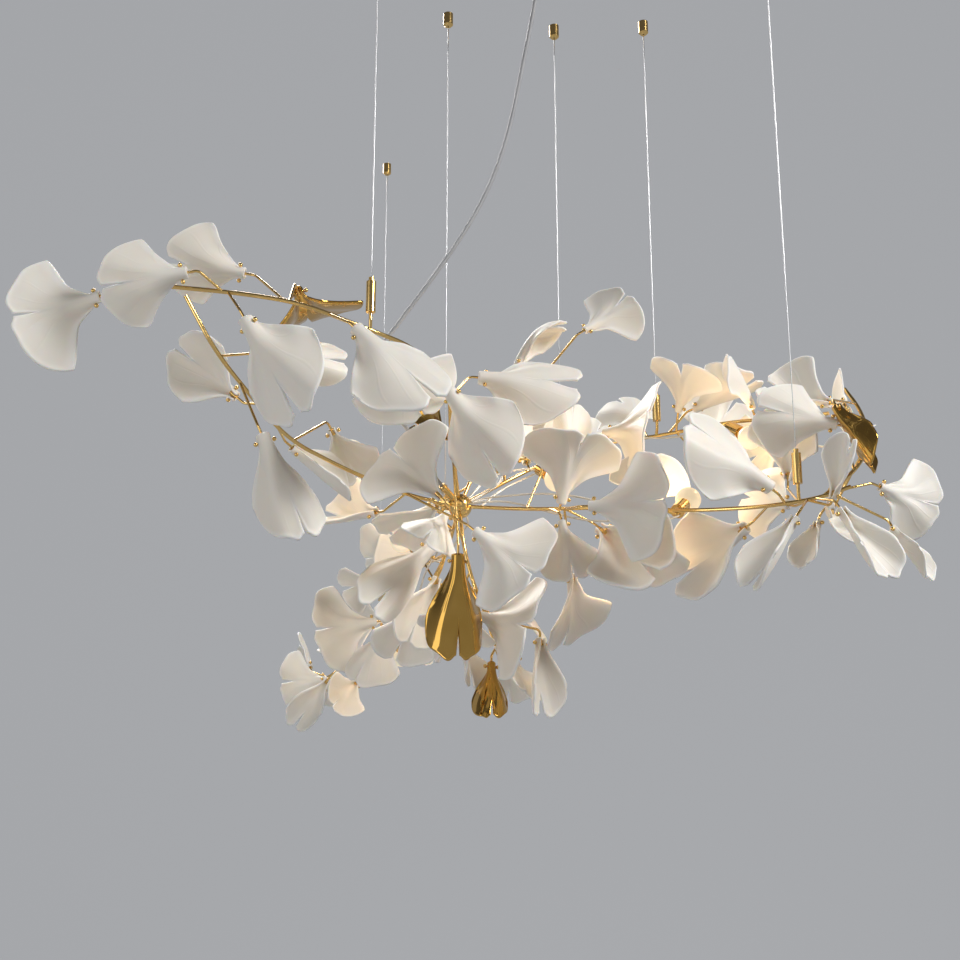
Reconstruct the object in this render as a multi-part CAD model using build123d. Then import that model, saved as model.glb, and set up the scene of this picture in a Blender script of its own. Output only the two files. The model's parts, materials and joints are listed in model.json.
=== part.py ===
from build123d import *
import math
import os
from collections import namedtuple

os.makedirs("parts", exist_ok=True)

# Porcelain leaf chandelier. Millimetres, +Z up, origin at the centre of the ceiling rose on the ceiling.

# Leaf sizes, as shares of the medium leaf, which is 100 mm from neck to rim.
SMALL = 0.80
MEDIUM = 1.00
LARGE = 1.28
LEAF_LENGTH = 100.0
LEAF_WALL = 2.2
NECK_HALF_WIDTH = 13.0
NECK_HALF_ANGLE = 2.45
RIM_NOTCH = 0.035
RIM_NOTCH_WIDTH = 0.16
SLIT_START = 0.64
SLIT_HALF_AT_RIM = 2.0
SLIT_HALF_AT_START = 0.4
LEAF_ROWS = 13
LEAF_COLUMNS = 15

# Cross pins, ferrules and stems.
PIN_R = 1.0
PIN_PLACE = 6.0
PIN_HOLE_R = 1.4
PIN_PLAY = 0.05
BALL_R = 2.5
FERRULE_R = 2.3
FERRULE_LENGTH = 9.0
STEM_R = 1.5
STEM_LEAD = 12.0
STEM_BEND_R = 8.0

# Hub and branches.
HUB = (-105, 130, -745)
HUB_R = 16.0
HUB_SOCKET_R = 11.5
BRANCH_R = 2.4
SOCKET_PLAY = 0.05
BACK_SIDE_ROOT = 0.16
CURL_ROOT = 0.93

# Lamps.
GLOBE_R = 16.0
GLOBE_WALL = 1.2
LAMP_BASE_R = 6.0
LAMP_BASE_END = 34.0
LAMP_PIN_R = 0.6
LAMP_PIN_END = 40.0
LAMP_PIN_SPACING = 5.0
HOLDER_R = 9.0
HOLDER_MOUTH = 20.0
HOLDER_BACK = 44.0
HOLDER_BORE_R = 6.4
HOLDER_BORE_END = 35.5
HOLDER_PIN_R = 1.0
HOLDER_PIN_END = 41.0
LAMP_STEM_R = 2.0
LAMP_STEM_LEAD = 10.0
CABLE_R = 1.25
CABLE_SIDE = 5.4
CABLE_LEAD = 14.0
CABLE_HUB_LEAD = 16.0

# Suspension.
WIRE_R = 0.6
WIRE_BALL_R = 2.2
GRIPPER_R = 5.5
GRIPPER_LENGTH = 36.0
GRIPPER_STUB_R = 2.0
GRIPPER_STUB_LENGTH = 18.0
GRIPPER_BORE_R = 1.2
GRIPPER_FLOOR = 6.0
GRIPPER_OUTLET_R = 0.9
PLUNGER_R = 3.0
PLUNGER_BORE_R = 3.3
PLUNGER_DEPTH = 9.0
PLUNGER_ROOM = 13.0
PLUNGER_OUT = 5.0
WIRE_END = 8.0
ANCHOR_R = 7.0
ANCHOR_BASE = 5.0
ANCHOR_BOSS_R = 4.6
ANCHOR_BOSS = 4.0
ANCHOR_HOLE_R = 2.2
ANCHOR_LENGTH = 20.0
ANCHOR_ROOM_R = 4.8
ANCHOR_FLOOR = 16.0
ANCHOR_WIRE_HOLE_R = 0.9

# Ceiling rose.
ROSE_R = 60.0
ROSE_H = 28.0
ROSE_WALL = 1.2
BRACKET_LENGTH = 112.0
BRACKET_WIDTH = 22.0
BRACKET_T = 2.0
BRACKET_TAB = 20.0
SLOT_SPACING = 60.0
SLOT_LENGTH = 9.0
SLOT_R = 2.25
ROSE_SCREW_R = 2.0
ROSE_SCREW_HOLE_R = 2.1
ROSE_SCREW_HEAD_R = 3.5
ROSE_SCREW_HEAD = 2.5
ROSE_SCREW_DROP = 12.0
BLOCK_LENGTH = 30.0
BLOCK_WIDTH = 18.0
BLOCK_H = 12.0
BLOCK_HOLE_R = 2.0
BLOCK_PITCH = 9.0

# Power cord and its grips.
CORD_R = 2.5
GRIP_BORE_R = 2.8
GRIP_BARREL_R = 5.0
GRIP_FLANGE_R = 8.0
GRIP_FLANGE = 3.0
GRIP_NUT = 4.0
GRIP_TOP = 20.0
CORD_TOP = 15.0
HUB_GRIP_R = 4.8
HUB_GRIP_END = 38.0
HUB_GRIP_FLOOR = 20.0
HUB_GRIP_AXIS = (-0.60, -0.55, 0.58)
CORD_END = 21.0

# Leaf forms: half angle of the curl at the rim (rad), bend along the leaf (deg, + to the hollow side),
# half width at the rim, set-back of the lobes, rounding of the corners, share of late flare.
LeafForm = namedtuple("LeafForm", "rim_angle bend half_width set_back corner flare")
FORMS = {
    "fan": LeafForm(0.62, -34.0, 74.0, 0.36, 7.0, 1.00),
    "cup": LeafForm(1.10, 18.0, 60.0, 0.34, 6.0, 0.60),
    "spade": LeafForm(0.95, 6.0, 50.0, 0.38, 8.0, 0.25),
    "tulip": LeafForm(1.40, 8.0, 38.0, 0.25, 6.0, 0.15),
    "horn": LeafForm(0.90, 75.0, 40.0, 0.26, 6.0, 0.20),
}

# Branches from the hub outwards, by their corner points.
BRANCHES = {
    "LU": [HUB, (-115, 60, -675), (-115, -20, -630), (-155, -90, -610), (-205, -135, -605),
           (-275, -160, -585), (-340, -175, -580), (-410, -180, -575)],
    "LL": [HUB, (-170, 90, -740), (-240, 20, -725), (-300, -40, -705), (-335, -90, -670),
           (-370, -130, -630), (-400, -155, -575)],
    "RM": [HUB, (-15, 105, -755), (80, 70, -760), (170, 25, -775), (250, -20, -780),
           (305, -40, -775), (345, -35, -760)],
    "RR": [HUB, (-40, 190, -695), (55, 225, -640), (150, 215, -630), (260, 150, -625),
           (325, 95, -640), (355, 70, -640)],
    "BM": [HUB, (-125, 240, -790), (-165, 370, -830), (-215, 500, -860), (-280, 640, -885),
           (-345, 780, -900)],
    "UB": [HUB, (-80, 150, -680), (-40, 165, -610), (5, 160, -560)],
    "DR": [HUB, (-100, 110, -800), (-85, 120, -855), (-50, 130, -915)],
}
BACK_SIDE_POINTS = [(-165, 370, -780), (-210, 500, -780), (-245, 645, -785)]
CURL_POINTS = [(370, 0, -725), (395, 40, -675), (390, 60, -635), (380, 80, -605)]
BRANCH_NODES = {
    "LU": "branch_left_upper",
    "LL": "branch_left_lower",
    "RM": "branch_right_main",
    "RR": "branch_right_rear",
    "BM": "branch_back_main",
    "UB": "branch_up_back",
    "DR": "branch_drop",
    "BS": "branch_back_side",
    "RC": "branch_right_curl",
}

# Leaves: branch, place of the stem's root along it, neck end, swing in the XZ plane, turn to the front,
# roll of the hollow side, size and form.
LEAVES_LEFT_UPPER = [
    ("LU", 0.99, (-490, -165, -580), -165, -10, 180, MEDIUM, "fan"),
    ("LU", 0.90, (-390, -195, -565), -170, 0, -165, MEDIUM, "cup"),
    ("LU", 0.78, (-345, -110, -530), 170, 0, -150, MEDIUM, "cup"),
    ("LU", 0.89, (-325, -200, -620), -60, 0, 145, LARGE, "spade"),
    ("LL", 0.84, (-320, -65, -610), 5, -30, 180, MEDIUM, "tulip"),
    ("LU", 0.69, (-210, -185, -625), -45, 10, -155, LARGE, "spade"),
    ("LU", 0.55, (-180, -60, -605), -60, -60, 180, MEDIUM, "fan"),
]
LEAVES_LEFT_LOWER = [
    ("LL", 0.69, (-355, -75, -665), 140, 0, 25, MEDIUM, "spade"),
    ("LL", 0.76, (-315, -125, -725), -65, 0, -160, LARGE, "tulip"),
    ("LL", 0.61, (-300, -5, -705), -35, -40, 60, MEDIUM, "tulip"),
    ("LL", 0.55, (-260, 40, -670), -60, -40, 0, SMALL, "cup"),
    ("DR", 0.30, (-125, 20, -760), 135, 0, 10, MEDIUM, "fan"),
    ("LL", 0.17, (-210, 120, -755), 175, -40, -40, MEDIUM, "cup"),
    ("UB", 0.14, (-135, 170, -735), -160, -40, 50, MEDIUM, "cup"),
]
LEAVES_TOP = [
    ("LU", 0.39, (-115, -35, -645), -60, 0, 145, LARGE, "spade"),
    ("LU", 0.17, (-60, 110, -635), 40, -40, 180, SMALL, "fan"),
    ("LU", 0.30, (-80, 20, -610), -5, 0, -155, LARGE, "spade"),
    ("UB", 0.88, (-30, 140, -555), 65, 0, -85, MEDIUM, "horn"),
    ("UB", 0.98, (60, 150, -500), 35, -10, -155, SMALL, "fan"),
    ("RM", 0.18, (0, 120, -695), 80, 30, 70, SMALL, "tulip"),
    ("UB", 0.36, (35, 170, -665), 80, -5, 160, SMALL, "cup"),
    ("RR", 0.25, (-15, 235, -660), 105, -30, 0, MEDIUM, "fan"),
]
LEAVES_RIGHT_REAR = [
    ("RR", 0.38, (65, 250, -625), 50, -50, 20, SMALL, "cup"),
    ("RR", 0.38, (85, 160, -640), 0, 45, -160, MEDIUM, "fan"),
    ("RR", 0.62, (185, 175, -605), 85, 40, -150, SMALL, "fan"),
    ("RR", 0.60, (210, 195, -595), 15, 35, 110, MEDIUM, "cup"),
    ("RR", 0.84, (270, 115, -620), 115, 25, 110, SMALL, "cup"),
    ("RC", 0.39, (355, 60, -630), 150, -35, -20, MEDIUM, "cup"),
    ("RC", 0.56, (370, 50, -635), 20, -65, 0, SMALL, "fan"),
    ("RC", 0.46, (340, -15, -680), 165, -5, 180, MEDIUM, "cup"),
    ("RR", 0.94, (320, 140, -655), -165, -45, 0, SMALL, "fan"),
    ("RR", 0.55, (145, 270, -595), 110, -45, 170, MEDIUM, "cup"),
    ("RR", 0.62, (225, 240, -640), 55, -25, 180, MEDIUM, "fan"),
]
LEAVES_RIGHT_MAIN = [
    ("RM", 0.84, (250, -50, -765), 145, 15, 150, LARGE, "spade"),
    ("RM", 0.98, (385, -15, -755), -15, -25, 180, SMALL, "fan"),
    ("RM", 0.95, (395, -20, -805), -70, 25, 60, SMALL, "tulip"),
    ("RM", 0.91, (315, -95, -800), -65, 20, 30, MEDIUM, "tulip"),
    ("RM", 0.89, (315, -70, -780), 80, 45, 60, SMALL, "tulip"),
    ("RC", 0.55, (345, 45, -770), -130, 60, 30, SMALL, "cup"),
    ("RC", 0.27, (325, 40, -785), -115, 30, -60, SMALL, "tulip"),
    ("RM", 0.89, (270, -75, -805), -125, 0, -55, MEDIUM, "tulip"),
    ("RM", 0.80, (240, 45, -790), -145, -40, -30, LARGE, "spade"),
    ("RC", 0.29, (365, 25, -700), 40, -65, 70, SMALL, "cup"),
    ("RM", 0.87, (300, 70, -725), 90, 30, 40, MEDIUM, "cup"),
    ("RM", 0.90, (290, 35, -765), 145, -55, -160, MEDIUM, "cup"),
    ("RM", 0.49, (135, 110, -755), 85, -20, 180, SMALL, "fan"),
    ("RM", 0.50, (135, 60, -780), -100, -45, 30, MEDIUM, "cup"),
]
LEAVES_CENTRE = [
    ("RM", 0.25, (20, 70, -755), 75, 20, 160, MEDIUM, "fan"),
    ("RM", 0.28, (50, 20, -770), 0, 10, 180, MEDIUM, "fan"),
    ("RM", 0.28, (70, 100, -780), -50, 35, 0, LARGE, "cup"),
    ("LL", 0.17, (-85, 20, -800), -40, 5, 180, MEDIUM, "fan"),
    ("RM", 0.24, (20, 60, -780), -80, 15, 180, SMALL, "cup"),
    ("DR", 0.66, (-80, 95, -890), -20, 35, 180, MEDIUM, "fan"),
    ("RM", 0.28, (35, 120, -835), -85, -20, 50, MEDIUM, "fan"),
    ("LL", 0.10, (-120, 85, -765), -120, 50, 180, SMALL, "cup"),
    ("DR", 0.49, (-115, 125, -905), -55, 15, 80, SMALL, "fan"),
    ("DR", 0.66, (-50, 165, -935), -40, 50, 80, SMALL, "fan"),
    ("DR", 0.85, (-5, 120, -915), -90, 10, 40, MEDIUM, "tulip"),
    ("DR", 0.98, (-35, 170, -930), -100, -45, 20, SMALL, "cup"),
    ("DR", 0.74, (-55, 190, -855), 15, -50, 0, MEDIUM, "fan"),
    ("DR", 0.53, (-90, 120, -865), -120, -40, 20, SMALL, "fan"),
]
LEAVES_BACK = [
    ("BM", 0.07, (-140, 120, -800), -130, 25, -160, LARGE, "tulip"),
    ("BS", 0.27, (-180, 375, -755), -170, -10, 20, SMALL, "fan"),
    ("BS", 0.56, (-230, 480, -785), 180, -35, 30, SMALL, "cup"),
    ("BM", 0.52, (-235, 470, -845), -170, 5, 180, MEDIUM, "fan"),
    ("BM", 0.46, (-210, 425, -860), -125, 0, 150, MEDIUM, "cup"),
    ("BM", 0.92, (-340, 740, -905), -175, 0, 180, SMALL, "fan"),
    ("BM", 0.99, (-375, 800, -880), 115, -45, 60, SMALL, "cup"),
    ("BM", 0.87, (-330, 690, -910), -125, 0, 0, MEDIUM, "tulip"),
    ("BM", 0.94, (-335, 760, -920), -120, -55, 30, SMALL, "fan"),
    ("BM", 0.78, (-275, 620, -920), -130, 40, 20, SMALL, "cup"),
    ("BM", 0.18, (-160, 260, -850), -120, -35, 20, MEDIUM, "cup"),
    ("BS", 0.69, (-230, 560, -830), 170, -35, 10, SMALL, "fan"),
    ("BM", 0.12, (-135, 200, -825), -115, 0, 30, MEDIUM, "cup"),
    ("BM", 0.14, (-140, 230, -840), -85, -30, 60, MEDIUM, "tulip"),
    ("BM", 0.26, (-165, 330, -775), 135, -40, 180, SMALL, "fan"),
    ("BM", 0.63, (-210, 560, -870), 10, -45, 0, SMALL, "cup"),
    ("BM", 0.86, (-305, 715, -890), 90, -50, 0, SMALL, "fan"),
]
GOLD_LEFT = [("LU", 0.77, (-285, -110, -550), -65, -75, 0, MEDIUM, "fan")]
GOLD_TOP = [("LU", 0.15, (-120, 105, -660), 145, -45, 0, SMALL, "cup")]
GOLD_RIGHT = [("RC", 0.87, (340, -20, -660), -75, 25, 80, MEDIUM, "tulip")]
GOLD_CENTRE = [
    ("LU", 0.14, (-105, 40, -825), -90, 0, -165, LARGE, "tulip"),
    ("DR", 0.98, (-65, 120, -945), -90, 30, -170, SMALL, "tulip"),
]

# Lamps: branch, place of the stem's root, centre of the globe, azimuth and elevation of the axis,
# then the cable: side of the holder (deg), azimuth and elevation on the hub, points between.
LAMPS = [
    ("RM", 0.54, (180, 95, -745), 60, 30, 255, 315, 0,
     [(-45, 120, -740), (0, 110, -755), (55, 85, -775), (95, 55, -780)]),
    ("RR", 0.16, (-60, 205, -645), 120, 60, 30, 15, 30, [(-55, 160, -710)]),
    ("RR", 0.24, (20, 150, -705), 300, -30, 240, 0, 45, [(-70, 155, -700), (-25, 190, -680)]),
    ("RM", 0.42, (100, 140, -805), 90, -30, 150, 345, 15,
     [(-60, 120, -735), (-5, 100, -735), (30, 90, -740), (65, 75, -750)]),
    ("RR", 0.73, (265, 110, -660), 300, -30, 195, 45, 0,
     [(-55, 170, -715), (-15, 195, -690), (20, 210, -670), (70, 220, -640), (130, 195, -635),
      (165, 185, -640), (200, 165, -640)]),
    ("BM", 0.19, (-185, 255, -765), 180, 30, 330, 60, -30, [(-105, 185, -770), (-120, 225, -790)]),
    ("BM", 0.53, (-200, 535, -890), 90, -30, 90, 75, 0,
     [(-120, 200, -760), (-135, 250, -780), (-155, 310, -795), (-165, 350, -820), (-175, 380, -840),
      (-185, 430, -855)]),
    ("LL", 0.19, (-240, 90, -685), 180, 30, 210, 195, 15, [(-155, 110, -725)]),
]

# Suspension wires: branch, place of the gripper along it, x and y of the wire.
WIRES = [
    ("LU", 0.60, (-200, -130)),
    ("BM", 0.075, (-125, 185)),
    ("BS", 0.985, (-245, 640)),
    ("RR", 0.33, (30, 215)),
    ("RR", 0.57, (160, 205)),
    ("RM", 0.872, (285, -35)),
]

# Power cord, from the rose to the hub, by its corner points between the two grips.
CORD_POINTS = [(-3, 5, -72), (-12, 16, -125), (-24, 22, -185), (-36, 25, -250), (-52, 24, -315),
               (-75, 22, -375), (-105, 20, -430), (-140, 18, -485), (-175, 18, -535), (-200, 20, -570),
               (-212, 25, -605), (-200, 35, -635), (-175, 52, -655), (-158, 75, -678), (-148, 92, -698)]


def smooth(start, end, x):
    t = min(max((x - start) / (end - start), 0.0), 1.0)
    return t * t * (3.0 - 2.0 * t)


def direction(azimuth, elevation):
    a = math.radians(azimuth)
    e = math.radians(elevation)
    return Vector(math.cos(e) * math.cos(a), math.cos(e) * math.sin(a), math.sin(e))


def leaf_axis(form, t):
    """Point and slope of the leaf's middle line at length t."""
    steps = 40
    full = smooth(0.1, 1.25, 1.0)
    x = 0.0
    z = 0.0
    for i in range(steps):
        b = math.radians(form.bend) * smooth(0.1, 1.25, (i + 0.5) / steps * t / LEAF_LENGTH) / full
        x += math.cos(b) * t / steps
        z += math.sin(b) * t / steps
    return x, z, math.radians(form.bend) * smooth(0.1, 1.25, t / LEAF_LENGTH) / full


def leaf_point(form, u, w):
    """Point of the leaf's middle surface: u from neck to rim, w from one edge to the other."""
    wing = (smooth(0.52, 1.05, u) / smooth(0.52, 1.05, 1.0)) ** 1.6
    late = 0.45 * u ** 2.2 + 0.55 * wing
    spread = form.flare * late + (1.0 - form.flare) * smooth(0.03, 0.97, u)
    half_width = NECK_HALF_WIDTH + (form.half_width - NECK_HALF_WIDTH) * spread
    curl = form.rim_angle + (NECK_HALF_ANGLE - form.rim_angle) * (1.0 - smooth(0.02, 0.72, u)) ** 1.3
    notch = RIM_NOTCH * math.exp(-((w / RIM_NOTCH_WIDTH) ** 2))
    reach = LEAF_LENGTH * (1.0 - form.set_back * abs(w) ** 1.9 - notch)
    corner = form.corner * min(max((abs(w) - 0.80) / 0.20, 0.0), 1.0) ** 2
    radius = half_width / curl
    angle = w * curl
    rise = radius - radius * math.cos(angle)
    x, z, slope = leaf_axis(form, u * (reach - corner))
    tube = NECK_HALF_WIDTH / NECK_HALF_ANGLE
    return Vector(x - rise * math.sin(slope), radius * math.sin(angle), z + rise * math.cos(slope) - tube)


def leaf_normal(form, u, w):
    e = 0.004
    along = leaf_point(form, min(u + e, 1.0), w) - leaf_point(form, max(u - e, 0.0), w)
    across = leaf_point(form, u, min(w + e, 1.0)) - leaf_point(form, u, max(w - e, -1.0))
    return along.cross(across).normalized()


def leaf_side(form, u, w, side):
    return leaf_point(form, u, w) + leaf_normal(form, u, w) * (side * LEAF_WALL / 2)


def leaf_solid(form):
    """One medium leaf: neck end at the origin, axis along +X, hollow side to +Z."""
    us = [i / (LEAF_ROWS - 1) for i in range(LEAF_ROWS)]
    ws = [2 * j / (LEAF_COLUMNS - 1) - 1 for j in range(LEAF_COLUMNS)]
    skins = []
    for side in (1, -1):
        grid = [[leaf_side(form, u, w, side) for w in ws] for u in us]
        skins.append(Face.make_surface_from_array_of_points(grid, tol=0.05, min_deg=2, max_deg=4))
    edges = []
    for u, w in ((0, 0), (1, 0), (0.5, 1), (0.5, -1)):
        upper = skins[0].edges().sort_by_distance(leaf_side(form, u, w, 1))[0]
        lower = skins[1].edges().sort_by_distance(leaf_side(form, u, w, -1))[0]
        edges.append(Face.make_surface_from_curves(upper, lower))
    body = Solid(Shell(skins + edges))
    start = leaf_point(form, SLIT_START, 0).X
    end = leaf_point(form, 1, 0).X + 15
    outline = Polyline(
        (start, SLIT_HALF_AT_START),
        (end, SLIT_HALF_AT_RIM * 1.4),
        (end, -SLIT_HALF_AT_RIM * 1.4),
        (start, -SLIT_HALF_AT_START),
        close=True,
    )
    slit = extrude(make_face(outline), amount=LEAF_LENGTH, both=True)
    hole = Plane((PIN_PLACE, 0, 0), z_dir=(0, 1, 0)) * Cylinder(PIN_HOLE_R, 6 * NECK_HALF_WIDTH)
    return body - slit - hole


def only(shape):
    """The largest solid of a shape."""
    return shape.solids().sort_by(SortBy.VOLUME)[-1]


def leaf_plane(row):
    """Plane of a leaf row: X along the leaf, Z to its hollow side."""
    branch, place, neck, swing, front, roll, size, form = row
    a = math.radians(swing)
    t = math.radians(front)
    r = math.radians(roll)
    along = Vector(math.cos(t) * math.cos(a), -math.sin(t), math.cos(t) * math.sin(a))
    facing = (Vector(0, -1, 0) - along * -along.Y).normalized()
    side = facing.cross(along)
    hollow = facing * math.cos(r) + side * math.sin(r)
    return Plane(origin=neck, x_dir=along, z_dir=hollow)


def bend_radii(points, limit):
    """Radius of each corner: the arc takes at most 0.45 of the shorter run beside it."""
    radii = []
    for before, here, after in zip(points, points[1:], points[2:]):
        run_in = Vector(here) - Vector(before)
        run_out = Vector(after) - Vector(here)
        half = math.tan(math.radians(run_in.get_angle(run_out)) / 2)
        radii.append(min(limit, 0.45 * min(run_in.length, run_out.length) / half))
    return radii


def path_of(points, limit=10000.0):
    """Straight runs with tangent arcs; a corner of less than two degrees is left out."""
    kept = [Vector(*points[0])]
    for here, after in zip(points[1:], points[2:]):
        run_in = Vector(*here) - kept[-1]
        run_out = Vector(*after) - Vector(*here)
        if run_in.get_angle(run_out) > 2.0:
            kept.append(Vector(*here))
    kept.append(Vector(*points[-1]))
    if len(kept) == 2:
        return Line(kept[0], kept[1])
    return FilletPolyline(*kept, radius=bend_radii(kept, limit))


def rod(path, radius):
    return sweep(Plane(origin=path @ 0, z_dir=path % 0) * Circle(radius), path=path)


def node(name, shapes):
    solids = []
    for shape in shapes:
        solids.extend(shape.solids())
    export_step(Compound(solids), f"parts/{name}.step")


# Branches and hub.
hub_centre = Vector(*HUB)
paths = {name: path_of(points) for name, points in BRANCHES.items()}
paths["BS"] = path_of([tuple(paths["BM"] @ BACK_SIDE_ROOT)] + BACK_SIDE_POINTS)
paths["RC"] = path_of([tuple(paths["RM"] @ CURL_ROOT)] + CURL_POINTS)
socket_ball = Pos(*HUB) * Sphere(HUB_SOCKET_R)
branches = {}
for name in BRANCHES:
    branches[name] = only(rod(paths[name], BRANCH_R) - socket_ball)
branches["BS"] = only(rod(paths["BS"], BRANCH_R) - branches["BM"])
branches["RC"] = only(rod(paths["RC"], BRANCH_R) - branches["RM"])
for name, file_name in BRANCH_NODES.items():
    node(file_name, [branches[name]])

hub = Pos(*HUB) * Sphere(HUB_R)
for name in BRANCHES:
    run = Line(paths[name] @ 0, hub_centre + (paths[name] % 0) * (2 * HUB_R))
    hub = hub - rod(run, BRANCH_R + SOCKET_PLAY)
hub = hub + Pos(*HUB) * Sphere(HUB_SOCKET_R - SOCKET_PLAY)
node("hub_core", [hub])

# Leaves, cross pins, ferrules and stems.
leaf_bodies = {name: leaf_solid(form) for name, form in FORMS.items()}
scaled = {}
pins = {}
ferrules = {}
tube_outer = NECK_HALF_WIDTH / NECK_HALF_ANGLE * 1.02 + LEAF_WALL / 2
for size in (SMALL, MEDIUM, LARGE):
    for name, body in leaf_bodies.items():
        scaled[name, size] = only(body).scale(size, about=(0, 0, 0))
    cross = Plane((PIN_PLACE * size, 0, 0), z_dir=(0, 1, 0))
    reach = tube_outer * size + BALL_R
    pin = cross * Cylinder(PIN_R, 2 * reach)
    for side in (1, -1):
        pin = pin + cross * Pos(0, 0, side * reach) * Sphere(BALL_R)
    pins[size] = only(pin)
    from_end = (Align.CENTER, Align.CENTER, Align.MIN)
    ferrule = Plane.YZ * Cylinder(FERRULE_R, FERRULE_LENGTH * size, align=from_end)
    ferrules[size] = only(ferrule - cross * Cylinder(PIN_R + PIN_PLAY, 4 * FERRULE_R))


def holding_parts(rows):
    """Pins and stems (with ferrules) of some rows."""
    row_pins = []
    stems = []
    for row in rows:
        branch, place, neck, swing, front, roll, size, form = row
        plane = leaf_plane(row)
        row_pins.append(pins[size].moved(plane.location))
        stems.append(ferrules[size].moved(plane.location))
        root = paths[branch] @ place
        knee = Vector(*neck) - plane.x_dir * STEM_LEAD
        stem = rod(path_of([tuple(root), tuple(knee), neck], STEM_BEND_R), STEM_R)
        stems.append(only(stem - branches[branch]))
    return row_pins, stems


LEAF_NODES = {
    "leaves_left_upper": LEAVES_LEFT_UPPER,
    "leaves_left_lower": LEAVES_LEFT_LOWER,
    "leaves_top": LEAVES_TOP,
    "leaves_right_rear": LEAVES_RIGHT_REAR,
    "leaves_right_main": LEAVES_RIGHT_MAIN,
    "leaves_centre": LEAVES_CENTRE,
    "leaves_back": LEAVES_BACK,
    "gold_leaves": GOLD_LEFT + GOLD_TOP + GOLD_RIGHT + GOLD_CENTRE,
}
ARMS = {
    "left": LEAVES_LEFT_UPPER + LEAVES_LEFT_LOWER + GOLD_LEFT,
    "top": LEAVES_TOP + GOLD_TOP,
    "right": LEAVES_RIGHT_REAR + LEAVES_RIGHT_MAIN + GOLD_RIGHT,
    "centre": LEAVES_CENTRE + GOLD_CENTRE,
    "back": LEAVES_BACK,
}
for name, rows in LEAF_NODES.items():
    node(name, [scaled[row[7], row[6]].moved(leaf_plane(row).location) for row in rows])
for arm, rows in ARMS.items():
    row_pins, stems = holding_parts(rows)
    node(f"leaf_pins_{arm}", row_pins)
    node(f"stems_{arm}", stems)

# Lamps: holder, stem, cable and bulb.
holders = []
lamp_stems = []
cables = []
cable_radii = []
for number, row in enumerate(LAMPS, 1):
    branch, place, centre, azimuth, elevation, turn, hub_azimuth, hub_elevation, between = row
    axis = direction(azimuth, elevation)
    side = direction(azimuth + 90, 0)
    across = axis.cross(side)
    plane = Plane(origin=centre, x_dir=side, z_dir=axis)
    low = (Align.CENTER, Align.CENTER, Align.MIN)
    globe = Sphere(GLOBE_R) - Sphere(GLOBE_R - GLOBE_WALL)
    base = Pos(0, 0, -LAMP_BASE_END) * Cylinder(LAMP_BASE_R, LAMP_BASE_END, align=low) - Sphere(GLOBE_R)
    bore = Pos(0, 0, -HOLDER_BORE_END) * Cylinder(HOLDER_BORE_R, HOLDER_BORE_END, align=low)
    holder = Pos(0, 0, -HOLDER_BACK) * Cylinder(HOLDER_R, HOLDER_BACK - HOLDER_MOUTH, align=low) - bore
    for half in (-LAMP_PIN_SPACING / 2, LAMP_PIN_SPACING / 2):
        foot = Pos(half, 0, -LAMP_PIN_END)
        base = base + foot * Cylinder(LAMP_PIN_R, LAMP_PIN_END - LAMP_BASE_END + 1, align=low)
        hole = Pos(half, 0, -HOLDER_PIN_END)
        holder = holder - hole * Cylinder(HOLDER_PIN_R, HOLDER_PIN_END - HOLDER_BORE_END + 1, align=low)
    holders.append(plane * holder)
    node(f"bulb_{number}", [plane * globe, plane * base])
    root = paths[branch] @ place
    back = Vector(*centre) - axis * HOLDER_BACK
    knee = back - axis * LAMP_STEM_LEAD
    stem = rod(path_of([tuple(root), tuple(knee), tuple(back)], STEM_BEND_R), LAMP_STEM_R)
    lamp_stems.append(only(stem - branches[branch]))
    beside = side * math.cos(math.radians(turn)) + across * math.sin(math.radians(turn))
    cable_end = back + beside * CABLE_SIDE
    outward = direction(hub_azimuth, hub_elevation)
    points = [tuple(hub_centre + outward * HUB_R), tuple(hub_centre + outward * (HUB_R + CABLE_HUB_LEAD))]
    points += between
    points += [tuple(cable_end - axis * CABLE_LEAD), tuple(cable_end)]
    cable = rod(path_of(points), CABLE_R)
    cables.append(only(cable - Pos(*HUB) * Sphere(HUB_R)))
    cable_radii.append(round(min(bend_radii(points, 10000.0))))
node("lamp_holders", holders)
node("lamp_stems", lamp_stems)
node("lamp_cables", cables)

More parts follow.
